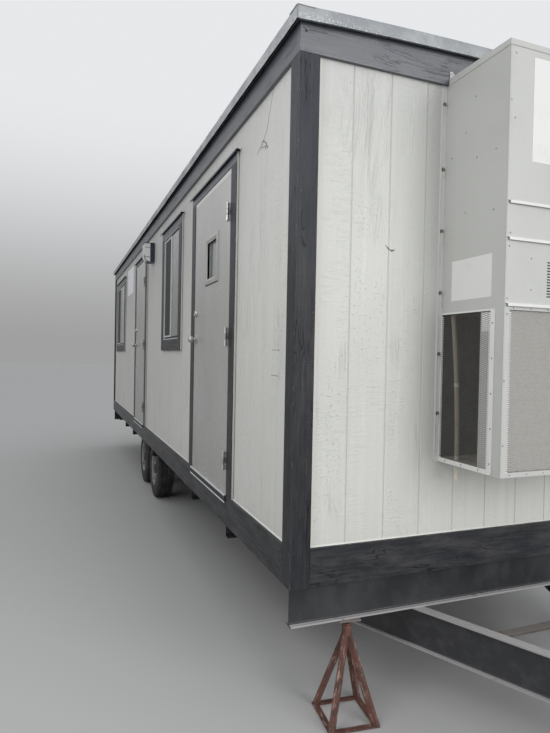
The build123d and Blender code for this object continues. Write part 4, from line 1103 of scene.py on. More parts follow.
def door_light():
    """The near door's small light: mouldings on both faces, screws, a black line of painted shadow below the
    front moulding, and its pane.
    """
    shape = Shape(34)
    low, high = LIGHT
    width, proud = 0.042, 0.010
    x, z = inset((low.x, high.x), -width), inset((low.z, high.z), -width)
    profile = [(0, 0), (0.001, 0.008), (0.004, proud), (width - 0.014, proud), (width - 0.009, 0.004)]
    profile += [(width, 0.001), (width, -0.014), (width - 0.003, -0.014), (width - 0.003, 0)]
    moulding(shape, x, z, slab_face, -1, profile)
    moulding(shape, x, z, slab_back, 1, [(a, min(b, 0.0045)) for a, b in profile])
    for k in (0.2, 0.8):
        across, up = x[0] + (x[1] - x[0]) * k, z[0] + (z[1] - z[0]) * k
        rows = [(across, b) for b in inset(z, width / 2)] + [(a, up) for a in inset(x, width / 2)]
        for a, b in rows:
            shape.screw((a, slab_face - proud, b), -NORTH, 0.004, 0.001, 10)
    # A black line under the front moulding: painted shadow.
    shape.finish = 1
    shape.block(inset(x, 0.002), (slab_face - 0.004, slab_face), (z[0] - 0.003, z[0]), 0.0003)
    looks = [DOOR, WEATHERSTRIP]
    shape.build("door_near_light_moulding", looks, "door_near_light_frame", "near_door")
    pane = Shape(35)
    pane.block((low.x, high.x), (low.y, high.y), (low.z, high.z), 0.0006, UP)
    pane.build("door_near_pane", [HAZED_GLASS], "door_near_glass", "near_door")


def hinge_part(shape, slab, x, low, high):
    """One rounded barrel of a hinge, with its leaf against a door edge or a jamb."""
    soft = 0.0008
    barrel = [(0, low), (KNUCKLE - soft, low), (KNUCKLE, low + soft), (KNUCKLE, high - soft)]
    barrel += [(KNUCKLE - soft, high), (0, high)]
    shape.lathe(barrel, (slab[1].x + DOOR_GAP / 2, HINGE_PIN, 0), UP, 24)
    shape.block((x, x + LEAF_THICK), (HINGE_PIN, HINGE_PIN + LEAF), (low, high), 0.0005)


def hinges():
    """Fixed halves of the hinges: leaves, outer knuckles, the pin and its round tips."""
    shape = Shape(36)
    tip = [(0, 0), (0.004, 0), (0.0055, 0.002), (0.004, 0.005), (0, 0.006)]
    for place, slab, body in DOORS:
        x = slab[1].x + DOOR_GAP / 2
        for z in HINGE_Z:
            low = z - HINGE_LENGTH / 2
            for start in (low, low + 2 * HINGE_THIRD):
                leaf = slab[1].x + DOOR_GAP - LEAF_THICK
                hinge_part(shape, slab, leaf, start, start + HINGE_THIRD - KNUCKLE_GAP)
            shape.lathe(tip, (x, HINGE_PIN, low + HINGE_LENGTH - 0.0012), UP, 16)
            shape.lathe(tip, (x, HINGE_PIN, low + 0.0002), -UP, 16)
            shape.lathe(disc(0.0028, 0.001, HINGE_LENGTH), (x, HINGE_PIN, low), UP, 12)
    shape.build("hinge_fixed_halves", [HINGE_STEEL], "door_hinges")


def knob(shape, x, y, out, reach):
    """A round knob on a stepped rose."""
    rose = [(0, 0), (0.033, 0), (0.033, 0.003), (0.030, 0.0065), (0.020, 0.009), (0.0125, 0.0105)]
    neck = [(0.011, 0.014), (0.011, reach - 0.040), (0.016, reach - 0.034)]
    ball = [(a, min(b, reach - 0.0015)) for a, b in arc((0, reach - 0.021), 0.027, -25, 60, 9)]
    profile = [*rose, *neck, *ball, (0.010, reach - 0.0005), (0, reach)]
    shape.lathe(profile, (x, y, door_foot + KNOB_UP), out, 36)


def door_furniture(place, slab, body):
    """Knobs, the bolt with its key plug and a black keyway of painted shade, and the moving half of each
    hinge.
    """
    shape = Shape(37)
    x, bolt_z = slab[0].x + LATCH_BACKSET, door_foot + BOLT_UP
    knob(shape, x, slab_face, -NORTH, KNOB_REACH)
    knob(shape, x, slab_back, NORTH, KNOB_REACH - 0.006)
    collar = [(0, 0), (0.027, 0), (0.027, 0.004), (0.021, 0.017)]
    collar += [(0.014, 0.018), (0.0135, 0.0155), (0, 0.0155)]
    shape.lathe(collar, (x, slab_face, bolt_z), -NORTH, 32)
    shape.lathe(collar, (x, slab_back, bolt_z), NORTH, 32)
    turn, latch = (slab_back + 0.0155, slab_back + 0.026), (slab_face + 0.010, slab_face + 0.034)
    shape.bar(x, 0.004, turn, inset((bolt_z, bolt_z), -0.014), 0.0015)
    latch_z = inset((door_foot + KNOB_UP, door_foot + KNOB_UP), -0.03)
    shape.block((slab[0].x - 0.0008, slab[0].x + 0.0005), latch, latch_z, 0.0003)
    for z in HINGE_Z:
        hinge_part(shape, slab, slab[1].x, *inset((z - HINGE_THIRD / 2, z + HINGE_THIRD / 2), 0.0006))
    # A black slot for the keyway: painted shade.
    shape.finish = 1
    key = (slab_face - 0.0162, slab_face - 0.0154)
    shape.bar(x, 0.0008, key, inset((bolt_z, bolt_z), -0.005), 0.0002)
    name = f"door_{place}_furniture"
    shape.build(f"{name}_parts", [STEEL, WEATHERSTRIP], name, body)


# Wall light: a navy housing with a lid and a curved rim, round a ribbed lens

def wall_light():
    """The case with its lid, curved foot and end ribs, and the lens inside it."""
    low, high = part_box("wall_light_housing")
    deep, reach, rim, soft, wall = 0.050, door_face - low.y, 0.008, 0.006, 0.003
    bottom, top = low.z, high.z
    radius = reach - deep
    centre = (deep, bottom + radius)
    start, end = Vector((low.x, door_face, 0)), Vector((high.x, door_face, 0))
    shape = Shape(41)
    back = [(0, bottom + soft), (soft, bottom), (deep - 0.002, bottom), (deep, bottom + 0.003)]
    back += [(deep, top - 0.001), (0, top - 0.001)]
    shape.prism(back, start, end)
    lid = [(0, top), (reach - 0.012, top), (reach - 0.002, top - 0.002), (reach, top - 0.006)]
    lid += [(reach, top - rim - 0.002), (reach - 0.003, top - rim - 0.002)]
    lid += [(reach - 0.004, top - rim), (0, top - rim)]
    shape.prism(lid, start, end)
    shape.prism([*arc(centre, radius, -90, -62, 6), *arc(centre, radius - wall, -62, -90, 6)], start, end)
    rib = arc(centre, radius, -90, 8, 14) + arc(centre, radius - 0.005, 8, -90, 14)
    for x in (start, end - EAST * wall):
        shape.prism(rib, x, x + EAST * wall)
    for x in inset((low.x, high.x), 0.02):
        shape.screw((x, low.y + 0.012, top - 0.0005), UP, 0.004, 0.001, 10)
    shape.build("wall_light_case", [HOUSING], "wall_light_housing")
    lens = Shape(42)
    front, ribs, dip = reach - 0.0035, 13, 0.0025
    head = top - rim - 0.0005
    outline = [(deep - 0.002, head), (deep - 0.002, bottom + 0.006)]
    outline += arc(centre, radius - 0.0035, -88, 0, 12)
    foot, crest = bottom + radius + 0.004, top - rim - 0.006
    pitch = (crest - foot) / ribs
    for i in range(ribs):
        base = foot + pitch * i
        outline += [(front - dip, base), (front, base + pitch * 0.3), (front, base + pitch * 0.7)]
    outline += [(front - dip, crest), (front - dip, head)]
    lens.prism(outline, start + EAST * 0.0034, end - EAST * 0.0034)
    lens.finish = 1
    for x in (start + EAST * 0.0004, end - EAST * 0.0056):
        for z in (bottom + radius * 0.75, top - 0.055):
            bar = [(deep + 0.003, z), (front - 0.006, z)]
            bar += [(front - 0.006, z + 0.004), (deep + 0.003, z + 0.004)]
            lens.prism(bar, x, x + EAST * 0.0049)
    lens.build("wall_light_diffuser", [LENS, HOUSING], "wall_light_lens")


# Air-conditioning unit on the hitch end

AC_SHEET, AC_FLANGE, AC_CORNER = 0.003, 0.027, 0.004
ac_front = hitch_face + 0.419
ac_sides = inset((middle_y, middle_y), -0.438)
ac_foot, ac_head = wall_top - 1.849, wall_top
AC_SIDES = ((ac_sides[0], -1), (ac_sides[1], 1))
BAY = (ac_foot + 0.022, ac_foot + 0.725)
SIDE_HOLE = (hitch_face + 0.006, ac_front - 0.079)
FRONT_HOLE = inset(ac_sides, 0.028)
AC_JOINTS = [ac_foot + joint for joint in (0.740, 1.022, 1.178)]
VENT_SLOTS, VENT_SLOT = 13, 0.006
VENT_Z = (ac_foot + 0.788, ac_foot + 0.944)
VENT_Y = [(middle_y - 0.204 + 0.1393 * i, middle_y - 0.0745 + 0.1393 * i) for i in range(3)]
BOLT_IN = 0.0155
FLANGE_BOLTS = (0.091, 0.409, 0.711, 1.015, 1.316, 1.610)
SIDE_SCREWS = ((0.208, 0.134), (0.148, 0.277), (0.346, 0.418), (0.047, 0.366), (0.224, 0.417))
SIDE_SCREWS += ((0.155, 0.653), (0.339, 0.681))
FRONT_SCREWS = ((0.029, 0.034), (0.010, 0.234), (0.031, 0.307), (0.023, 0.655))
FRONT_SCREWS += ((0.022, 0.796), (0.018, 0.853), (0.142, 0.897), (0.143, 1.032))
FRONT_SCREWS += ((0.013, 1.076), (0.015, 1.143), (0.008, 1.430), (0.010, 1.709))
SHEET_SCREW = (0.0042, 0.0018)
MESH_TALL, MESH_WIDE, MESH_STRAND, MESH_THICK = 0.0093, 0.036, 0.0013, 0.0009


def ac_cabinet():
    """Bent sheet panels round an open bay, with screws, bolts, vents and blank plates."""
    shape = Shape(51)
    tall, inside, tray = (ac_foot, ac_head), 4, 6
    at_wall = (hitch_face, hitch_face + AC_SHEET)
    for y, side in AC_SIDES:
        out = NORTH * side
        run = (hitch_face, ac_front - AC_CORNER)
        shape.panel(EAST, out, y * side, run, tall, AC_SHEET, [(SIDE_HOLE, BAY)], back=inside)
        shape.block((ac_front - AC_CORNER, ac_front), (y, y - side * AC_CORNER), tall, 0.0004)
        # The flange wears the paler cabinet paint: painted light.
        shape.finish = 1
        shape.block(at_wall, (y, y + side * AC_FLANGE), tall, 0.0008, UP)
        shape.finish = 0
    vents = []
    for i in range(VENT_SLOTS):
        z = VENT_Z[0] + (VENT_Z[1] - VENT_Z[0] - VENT_SLOT) * i / (VENT_SLOTS - 1)
        vents += [(across, (z, z + VENT_SLOT)) for across in VENT_Y]
    holes = [(FRONT_HOLE, BAY), *vents]
    shape.panel(NORTH, EAST, ac_front, inset(ac_sides, AC_CORNER), tall, AC_SHEET, holes, back=inside)
    inner_y, inner_x = inset(ac_sides, AC_SHEET), (hitch_face, ac_front - AC_SHEET)
    behind_vents = (ac_front - 0.014, ac_front - 0.012), (VENT_Y[0][0] - 0.02, VENT_Y[-1][1] + 0.02)
    for finish, x, y, z in (
        (0, inner_x, inner_y, (ac_head - AC_SHEET, ac_head)),
        (inside, inner_x, inner_y, (BAY[1], BAY[1] + AC_SHEET)),
        (inside, at_wall, inner_y, tall),
        (tray, inner_x, inner_y, (ac_foot, BAY[0])),
        (inside, *behind_vents, inset(VENT_Z, -0.01)),
    ):
        shape.finish = finish
        shape.block(x, y, z, 0.0005)
    shape.finish = 2
    for y, side in AC_SIDES:
        for ahead, drop in SIDE_SCREWS:
            shape.screw((hitch_face + ahead, y, ac_head - drop), NORTH * side, *SHEET_SCREW)
        for drop in FLANGE_BOLTS:
            shape.lag_bolt((at_wall[1], y + side * BOLT_IN, ac_head - drop), EAST, 0.0065)
    for inward, drop in FRONT_SCREWS:
        for y in inset(ac_sides, inward):
            shape.screw((ac_front, y, ac_head - drop), EAST, *SHEET_SCREW)
    for i in range(9):
        for z in (BAY[0] - 0.011, BAY[1] + 0.008):
            shape.screw((ac_front, ac_sides[0] + 0.05 + i * 0.097, z), EAST, 0.0036, 0.0016)
    bead = 0.006
    for y, side in AC_SIDES:
        shape.finish = 3
        for drop in FLANGE_BOLTS:
            top = ac_head - drop - bead
            fall = shape.random.uniform(0.03, 0.07)
            run = y + side * (BOLT_IN + shape.random.uniform(-0.004, 0.004))
            width = (run - 0.004, run + 0.004)
            shape.block((at_wall[1], at_wall[1] + 0.003), width, (top - fall, top), 0.0015)
        shape.finish = 0
        edge = y + side * AC_FLANGE
        section = [(0, 0), (bead * side, 0), (0, bead)]
        shape.prism(section, (hitch_face, edge, ac_foot), (hitch_face, edge, ac_head), EAST)
    shape.finish = 5
    plate_x, plate_z = (hitch_face + 0.070, hitch_face + 0.339), (1.981, 2.172)
    shape.block(plate_x, (ac_sides[0] - 0.0007, ac_sides[0]), plate_z, 0.0003)
    plate_y, plate_z = (middle_y - 0.308, middle_y + 0.302), (ac_head - 0.480, ac_head - 0.033)
    shape.block((ac_front, ac_front + 0.0012), plate_y, plate_z, 0.0005)
    looks = [CABINET, CABINET_PAINTED_LIGHT, DARK_STEEL, SEALANT, BAY_SHEET, PLATE, TRAY]
    shape.build("ac_cabinet_sheets", looks, "ac_cabinet")


def ac_cap_and_lips():
    """The sloping cap with its bracket, and the drip lips where the front panels meet."""
    low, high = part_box("ac_cap")
    shape = Shape(52)
    fall, nose = high.z - 0.006, 0.003
    section = [(low.x, low.z), (low.x, high.z), (high.x - 0.002, fall)]
    section += [(high.x, fall - nose), (high.x, low.z)]
    shape.prism(section, (0, low.y, 0), (0, high.y, 0))
    shape.finish = 1
    for proud, left, right, bottom, top, bevel in (
        (0.004, 0.002, 0.020, -0.026, 0.035, 0.001),
        (0.016, 0.020, 0.072, 0.010, 0.019, 0.003),
        (0.003, 0.020, 0.072, -0.012, 0.027, 0.001),
    ):
        span, tall = (low.y + left, low.y + right), (high.z + bottom, high.z + top)
        shape.block((hitch_trim, hitch_trim + proud), span, tall, bevel)
    shape.finish = 2
    for y in (0.030, 0.046, 0.062):
        shape.screw((hitch_trim + 0.009, low.y + y, high.z + 0.019), UP, 0.0045, 0.005)
    for z in (0.022, -0.014):
        shape.screw((hitch_trim + 0.004, low.y + 0.011, high.z + z), EAST, 0.0045)
    shape.build("ac_cap_sheet", [CABINET, EDGE_PAINT, DARK_STEEL], "ac_cap")
    lips = Shape(53)
    lip = [(0, 0.016), (0.010, 0.012), (0.010, 0), (0.0088, 0), (0.0088, 0.0105), (0, 0.0145)]
    for joint in AC_JOINTS:
        start, end = ((ac_front, y, joint) for y in ac_sides)
        lips.prism(lip, start, end, shear=(1.2, -1.2))
    # The drip lips wear the paler cabinet paint: painted light.
    lips.build("ac_drip_lips", [CABINET_PAINTED_LIGHT], "ac_front_lips")


def lattice(shape, place, across, out, wide, tall):
    """Expanded metal: crossing slanted strands over an upright rectangle, clipped to it."""
    lean = MESH_WIDE / MESH_TALL
    half = MESH_STRAND / 2 * sqrt(1 + 1 / lean ** 2)
    rise = (wide[1] - wide[0]) / lean
    for slope in (-1, 1):
        lift = place + out * (MESH_THICK * 0.7 * (slope + 1) / 2)
        for i in range(int((tall[1] - tall[0] + rise) / MESH_TALL) + 1):
            start = tall[0] - rise + i * MESH_TALL
            low, top = max(start, tall[0]), min(start + rise, tall[1])
            if top - low < MESH_TALL / 2:
                continue
            (a, low), (b, top) = [(wide[0] + (v - start) * lean, v) for v in (low, top)]
            if slope < 0:
                a, b = wide[0] + wide[1] - a, wide[0] + wide[1] - b
            outline = [(a, low - half), (a, low + half), (b, top + half), (b, top - half)]
            shape.plate([lift + across * u + UP * v for u, v in outline], out * MESH_THICK)


def ac_guards():
    """Diamond mesh over the bay's front and side holes, and the frames that hold the side ones."""
    shape = Shape(54)
    depth = AC_SHEET + 0.002
    lattice(shape, EAST * (ac_front - depth), NORTH, EAST, inset(ac_sides, 0.010), BAY)
    shape.finish = 1
    for y, side in AC_SIDES:
        run = (hitch_face + 0.004, ac_front - 0.060)
        lattice(shape, NORTH * (y - side * depth), EAST, NORTH * side, run, BAY)
    shape.build("ac_guard_mesh", [STRAND, SHADED_STRAND], "ac_guards")
    frames = Shape(55)
    cut, proud = 0.016, 0.003
    left, right = hitch_face + 0.003, SIDE_HOLE[1] + 0.027
    low, high = ac_foot, BAY[1] + 0.008
    for y, side in AC_SIDES:
        band, front = (y, y + side * proud), y + side * proud
        frames.block((left, SIDE_HOLE[0]), band, (low, high), 0.0006)
        frames.block(SIDE_HOLE, band, (low, BAY[0]), 0.0008)
        frames.block(SIDE_HOLE, band, (BAY[1], high), 0.0008)
        bend = right - cut
        outline = [(SIDE_HOLE[1], low), (bend, low), *arc((bend, low + cut), cut, -80, -10, 3)]
        outline += [(right, low + cut), (right, high - cut), *arc((bend, high - cut), cut, 10, 80, 3)]
        outline += [(bend, high), (SIDE_HOLE[1], high)]
        frames.plate([(a, y, b) for a, b in outline], NORTH * (side * proud))
        frames.finish = 1
        places = [(SIDE_HOLE[1] + 0.014, low + 0.05 + i * 0.155) for i in range(5)]
        places += [(SIDE_HOLE[0] + 0.05 + i * 0.115, low + 0.012) for i in range(3)]
        for x, z in places:
            frames.screw((x, front, z), NORTH * side, 0.004, 0.0016, 10)
        frames.finish = 0
    for i in range(int((BAY[1] - BAY[0]) / MESH_TALL)):
        tooth = (BAY[0] + i * MESH_TALL, BAY[0] + (i + 0.5) * MESH_TALL)
        for y, side in AC_SIDES:
            for edge, reach in zip(SIDE_HOLE, (0.008, -0.012)):
                frames.block((edge, edge + reach), (y, y - side * AC_SHEET), tooth, 0.0004)
        for edge, reach in zip(FRONT_HOLE, (0.011, -0.011)):
            frames.block((ac_front - AC_SHEET, ac_front), (edge, edge + reach), tooth, 0.0004)
    # The guard frames wear the paler cabinet paint: painted light.
    frames.build("ac_guard_holders", [CABINET_PAINTED_LIGHT, DARK_STEEL], "ac_guard_frames")


def ac_inside():
    """The coil with its end plates, the wrapped pipe and the drain."""
    low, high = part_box("ac_coil")
    coil = Shape(56)
    x, z, end = (low.x, high.x), (low.z, high.z), 0.003
    coil.block(x, inset((low.y, high.y), end), z, 0.002, NORTH)
    coil.finish = 1
    for y in ((low.y, low.y + end), (high.y - end, high.y)):
        coil.block(x, y, z, 0.0006)
    coil.finish = 2
    plate_x, plate_z = (low.x + 0.008, low.x + 0.056), (low.z + 0.614, low.z + 0.698)
    coil.block(plate_x, (low.y - 0.0006, low.y), plate_z, 0.0002)
    coil.build("ac_coil_fins", [FINS, CABINET, PLATE], "ac_coil")
    pipes = Shape(57)
    y, steps = ac_sides[0] + 0.032, 14
    foot, top, bowed = hitch_face + 0.098, hitch_face + 0.048, 0.012
    path = []
    for i in range(steps + 1):
        t = i / steps
        path.append((foot + (top - foot) * t + bowed * 4 * t * (1 - t), y, BAY[0] + (BAY[1] - BAY[0]) * t))
    pipes.tube(path, 0.0115, 16)
    pipes.finish = 1
    for i in (0, 7):
        a, b = Vector(path[i]), Vector(path[i + 1])
        pipes.tube([a, a.lerp(b, 0.35)], 0.0122, 16)
    outlet, shoulder = ac_foot - 0.075, ac_foot - 0.022
    stub = [(0, outlet + 0.012), (0.0105, outlet + 0.012), (0.0105, outlet), (0.0130, outlet)]
    stub += [(0.0130, shoulder - 0.002), (0.0140, shoulder), (0.0140, ac_foot), (0, ac_foot)]
    pipes.lathe(stub, (foot, y, 0), UP, 24)
    pipes.build("ac_pipework", [FOAM, DRAIN], "ac_pipes")


# Chassis: rolled beams and channels, the tongue, its brace and coupler

BEAM_LOW, BEAM_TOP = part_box("hitch_end_beam")[0].z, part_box("hitch_end_beam")[1].z
BEAM_DEEP = BEAM_TOP - BEAM_LOW
FLANGE, WEB, FLANGE_THICK = 0.058, 0.006, 0.008
header_x = hitch_face - FLANGE / 2
long_beam_y = [sum(v.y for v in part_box(f"long_beam_{side[0]}")) / 2 for side in SIDES]
TONGUE_SLOPE = tan(radians(25.6))
SOCKET = Vector((hitch_trim + 1.245 - 0.055, middle_y, 0))
APEX_X = SOCKET.x - 0.104
TONGUE_FLANGE, TONGUE_DEEP = 0.050, 0.196
TYRE, AXLE_BACK, AXLE_PITCH = 0.332, 4.441, 0.851
AXLES = (("front", hitch_face - AXLE_BACK), ("rear", hitch_face - AXLE_BACK - AXLE_PITCH))
TYRE_Y = {side: face - out * 0.181 for side, face, trim, out in SIDES}
SPRING_HALF, SPRING_SEAT = 0.0225, TYRE + 0.048


def beam_section(flange, deep):
    """A rolled I section with rounded roots, as pairs about its middle."""
    half, side, top, root = flange / 2, WEB / 2, deep / 2, 0.008
    quarter = [(half, top), (half, top - FLANGE_THICK)]
    quarter += arc((side + root, top - FLANGE_THICK - root), root, 90, 180, 4)
    section = quarter + [(a, -b) for a, b in reversed(quarter)]
    return section + [(-a, -b) for a, b in quarter] + [(-a, b) for a, b in reversed(quarter)]


def worn_below(a, b, deep=BEAM_DEEP):
    """Mark the lower flange of a beam."""
    edge = -deep / 2
    return 1.0 if b < edge + 0.001 or b < edge + FLANGE_THICK * 1.1 and abs(a) > WEB else 0.0


def worn_both(a, b):
    """Mark both flanges of a tongue beam."""
    return worn_below(a, -abs(b), TONGUE_DEEP)


def chassis():
    """End beams, long beams and cross channels."""
    middle = (BEAM_LOW + BEAM_TOP) / 2
    section = beam_section(FLANGE, BEAM_DEEP)
    for name, x in (("hitch_end_beam", header_x), ("far_end_beam", far_face + FLANGE / 2)):
        shape = Shape(61)
        shape.prism(section, (x, door_face, middle), (x, back_face, middle), worn=worn_below)
        if x == header_x:
            shape.finish = 1
            patch_y, patch_z = (-0.757, -0.640), (BEAM_LOW - 0.004, BEAM_LOW)
            shape.block((header_x, hitch_face - 0.001), patch_y, patch_z, 0.001)
        shape.build(f"{name}_steel", [CHASSIS, GEAR], name)
    between = inset((far_face, hitch_face), FLANGE)
    for side, y in zip(SIDES, long_beam_y):
        shape = Shape(62)
        shape.prism(section, (between[0], y, middle), (between[1], y, middle), worn=worn_below)
        shape.build(f"long_beam_{side[0]}_steel", [CHASSIS], f"long_beam_{side[0]}")
    shape = Shape(63)
    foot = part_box("cross_channels")[0].z
    half, deep, skin_thick, clear = 0.025, 0.1, 0.006, TYRE + 0.130
    channel = [(-half, 0), (half, 0), (half, skin_thick), (skin_thick - half, skin_thick)]
    channel += [(skin_thick - half, deep - skin_thick), (half, deep - skin_thick)]
    channel += [(half, deep), (-half, deep)]
    front, rear = AXLES[0][1] + clear, AXLES[1][1] - clear
    places = [between[1] - (between[1] - front) / 4 * (i + 1) for i in range(4)]
    places += [rear - (rear - between[0]) / 3 * i for i in range(3)]
    stops = [door_face, *(y + edge for y in long_beam_y for edge in (-WEB / 2, WEB / 2)), back_face]
    for x in places:
        for start, end in zip(stops[::2], stops[1::2]):
            shape.prism(channel, (x, start, foot), (x, end, foot))
    shape.build("cross_channel_steel", [CHASSIS], "cross_channels")


def tongue():
    """Two beams that meet ahead of the cabin, with an angle brace and a ball coupler."""
    level, tail_x = BEAM_LOW - TONGUE_DEEP / 2, hitch_trim - 0.640
    apex = Vector((APEX_X, middle_y, level))
    for side, face, trim, out in SIDES:
        shape = Shape(64)
        tail = Vector((tail_x, middle_y + out * (APEX_X - tail_x) * TONGUE_SLOPE, level))
        line = (apex - tail).normalized()
        shape.prism(beam_section(TONGUE_FLANGE, TONGUE_DEEP), tail, apex, worn=worn_both)
        for number, point in enumerate(shape.points):
            if (point.y - middle_y) * out < 0:
                shape.points[number] = point - line * ((point.y - middle_y) / line.y)
        # The tongue beams wear the lighter beam paint: dust and painted light.
        shape.build(f"tongue_beam_{side}_steel", [TONGUE_DUST_AND_PAINTED_LIGHT], f"tongue_beam_{side}")
    low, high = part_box("tongue_brace")
    brace = Shape(65)
    size, thick = high.z - low.z, 0.006
    angle = [(0, 0), (thick, 0), (thick, size - thick), (size, size - thick), (size, size), (0, size)]
    brace.prism(angle, (low.x, low.y, low.z), (low.x, high.y, low.z), shear=(TONGUE_SLOPE, -TONGUE_SLOPE))
    brace.build("tongue_brace_steel", [DUSTY_ANGLE], "tongue_brace")
    low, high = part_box("coupler")
    ball = Shape(66)
    profile = [(0.030, 0), (0.051, 0), (0.055, 0.004), (0.055, 0.080), (0.046, 0.092)]
    profile += [(0.026, 0.095), (0, 0.095), (0, 0.060), (0.030, 0.060)]
    ball.lathe(profile, (SOCKET.x, middle_y, low.z), UP, 40, closed=True)
    edge = [(low.x, 0.150), (SOCKET.x - 0.02, 0.058), (SOCKET.x, 0.050)]
    outline = [(x, -y) for x, y in edge] + edge[::-1]
    ball.plate([(x, middle_y + y, high.z - 0.010) for x, y in outline], UP * 0.0098, EAST, 1.0)
    ball.build("coupler_casting", [CHASSIS], "coupler")


# Running gear: axles with spring seats and U bolts, leaf springs, tyres on dished wheels

def axles():
    """Round tubes with spindles, spring pads and U bolts."""
    shape = Shape(71)
    low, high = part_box("axles")
    tube, spindle, bolt, bolt_out, bolt_top = 0.030, 0.025, 0.005, 0.022, TYRE + 0.062
    tube_ends = inset(sorted(TYRE_Y.values()), 0.080)
    for end, x in AXLES:
        for ends, radius in ((tube_ends, tube), ((low.y, high.y), spindle)):
            shape.tube([(x, y, TYRE) for y in ends], radius, 24)
        for beam_y in long_beam_y:
            pad = inset((beam_y, beam_y), -SPRING_HALF)
            shape.block((x - tube, x + tube), pad, (TYRE, SPRING_SEAT), 0.002)
            for offset in (-bolt_out, bolt_out):
                below = [(beam_y + b, TYRE + a) for a, b in arc((0, 0), tube, 180 + 90, 90, 9)]
                path = [(beam_y - tube, bolt_top), *below, (beam_y + tube, bolt_top)]
                shape.tube([(x + offset, y, z) for y, z in path], bolt, 8)
    shape.build("axle_tubes", [GEAR], "axles")


def springs():
    """Stacked leaves on hangers under the long beams."""
    eye, steps = BEAM_LOW - 0.024, 20
    front_x, rear_x = AXLES[0][1], AXLES[1][1]
    hangers = (front_x + 0.340, (front_x + rear_x) / 2, rear_x - 0.340)
    for (side, face, trim, out), beam_y in zip(SIDES, long_beam_y):
        shape = Shape(72)
        width = inset((beam_y, beam_y), -SPRING_HALF)
        for x, left, right in ((front_x, hangers[1], hangers[0]), (rear_x, hangers[2], hangers[1])):
            for leaf in range(4):
                share = 1 - leaf * 0.19
                z = SPRING_SEAT + 0.018 - 0.006 * leaf
                ends = (x + (left - x) * share, x + (right - x) * share)
                lower = []
                for i in range(steps + 1):
                    t = ends[0] + (ends[1] - ends[0]) * i / steps
                    reach = abs(t - x) / (x - left if t < x else right - x)
                    lower.append((t, z + (eye - 0.024 - SPRING_SEAT) * reach ** 1.35))
                outline = lower + [(a, b + 0.0058) for a, b in reversed(lower)]
                shape.plate([(a, width[0], b) for a, b in outline], NORTH * (2 * SPRING_HALF), EAST)
        for x in hangers:
            shape.block((x - 0.015, x + 0.015), width, (BEAM_LOW - 0.048, BEAM_LOW), 0.002)
            shape.tube([(x, y, eye - 0.010) for y in width], 0.014, 16)
        shape.build(f"springs_{side}_leaves", [GEAR], f"springs_{side}")


def wheel(end, x, side, out):
    """A grooved tyre on a dished wheel with nuts, a hub cap and black discs of painted shade for its hand
    holes.
    """
    half, rim, lugs = 0.100, 0.184, 72
    outer = [(rim + 0.004, half - 0.009), (rim + 0.014, half - 0.004), (rim + 0.040, half - 0.0005)]
    outer += [(rim + 0.052, half), (TYRE - 0.075, half - 0.002), (TYRE - 0.045, half - 0.006)]
    outer += [(TYRE - 0.022, half - 0.012), (TYRE - 0.006, half - 0.020), (TYRE - 0.001, half - 0.028)]
    tread, crown, root = [], TYRE - 0.0002, TYRE - 0.008
    for groove in (0.045, 0.0, -0.045):
        tread += [(crown, groove + 0.005), (root, groove + 0.003)]
        tread += [(root, groove - 0.003), (crown, groove - 0.005)]
    inner = [(r, -h) for r, h in reversed(outer)]
    shape = Shape(73)
    axis, centre = NORTH * out, Vector((x, TYRE_Y[side], TYRE))
    bead = [(rim - 0.004, -half + 0.03), (rim - 0.004, half - 0.03)]
    shape.lathe([*outer, *tread, *inner, *bead], centre, axis, lugs, True)
    lug = ((-0.004, -0.0085), (0.004, -0.0085), (0.004, 0.0085), (-0.004, 0.0085))
    for spoke in spokes(lugs):
        for h in (half - 0.0225, -half + 0.0225):
            place = centre + axis * h + spoke * (TYRE - 0.0105)
            shape.plate([place + spoke.cross(axis) * a + axis * b for a, b in lug], spoke * 0.0075, axis)
    shape.finish = 1
    dish = [(0.054, half - 0.072), (0.082, half - 0.070), (0.095, half - 0.066), (0.130, half - 0.058)]
    dish += [(rim - 0.030, half - 0.066), (rim - 0.014, half - 0.058), (rim - 0.010, half - 0.016)]
    dish += [(rim + 0.006, half - 0.010), (rim + 0.006, half - 0.013)]
    dish += [(rim - 0.008, half - 0.019), (rim - 0.004, 0)]
    dish += [(rim - 0.010, -half + 0.02), (rim + 0.006, -half + 0.012), (rim + 0.002, -half + 0.010)]
    dish += [(rim - 0.014, -half + 0.018), (rim - 0.012, half - 0.066), (0.054, half - 0.080)]
    shape.lathe(dish, centre, axis, 64, True)
    nut = [(0, 0), (0.011, 0), (0.0105, 0.012), (0.007, 0.017), (0, 0.018)]
    # The hand holes are black discs: painted shade in place of the holes.
    hand_hole_shade_disc = disc(0.014, 0, 0.0030)
    for finish, directions, depth, radius, profile, sides in (
        (2, spokes(8, 0.5), 0.060, 0.126, hand_hole_shade_disc, 20),
        (3, spokes(6), 0.070, 0.088, nut, 6),
    ):
        shape.finish = finish
        for spoke in directions:
            shape.lathe(profile, centre + axis * (half - depth) + spoke * radius, axis, sides)
    hub = [(0, -half + 0.030), (0.062, -half + 0.030), (0.062, half - 0.072), (0.056, half - 0.060)]
    hub += [(0.054, half - 0.022), (0.048, half - 0.016), (0, half - 0.014)]
    shape.lathe(hub, centre, axis, 40)
    name = f"wheel_{end}_{side}"
    shape.build(f"{name}_tyre", [RUBBER, RIM, WEATHERSTRIP, GEAR], name, f"{name}_body")


# Jack stands under the hitch-end beam

JACK_INWARD, JACK_TURN = 0.301, 6


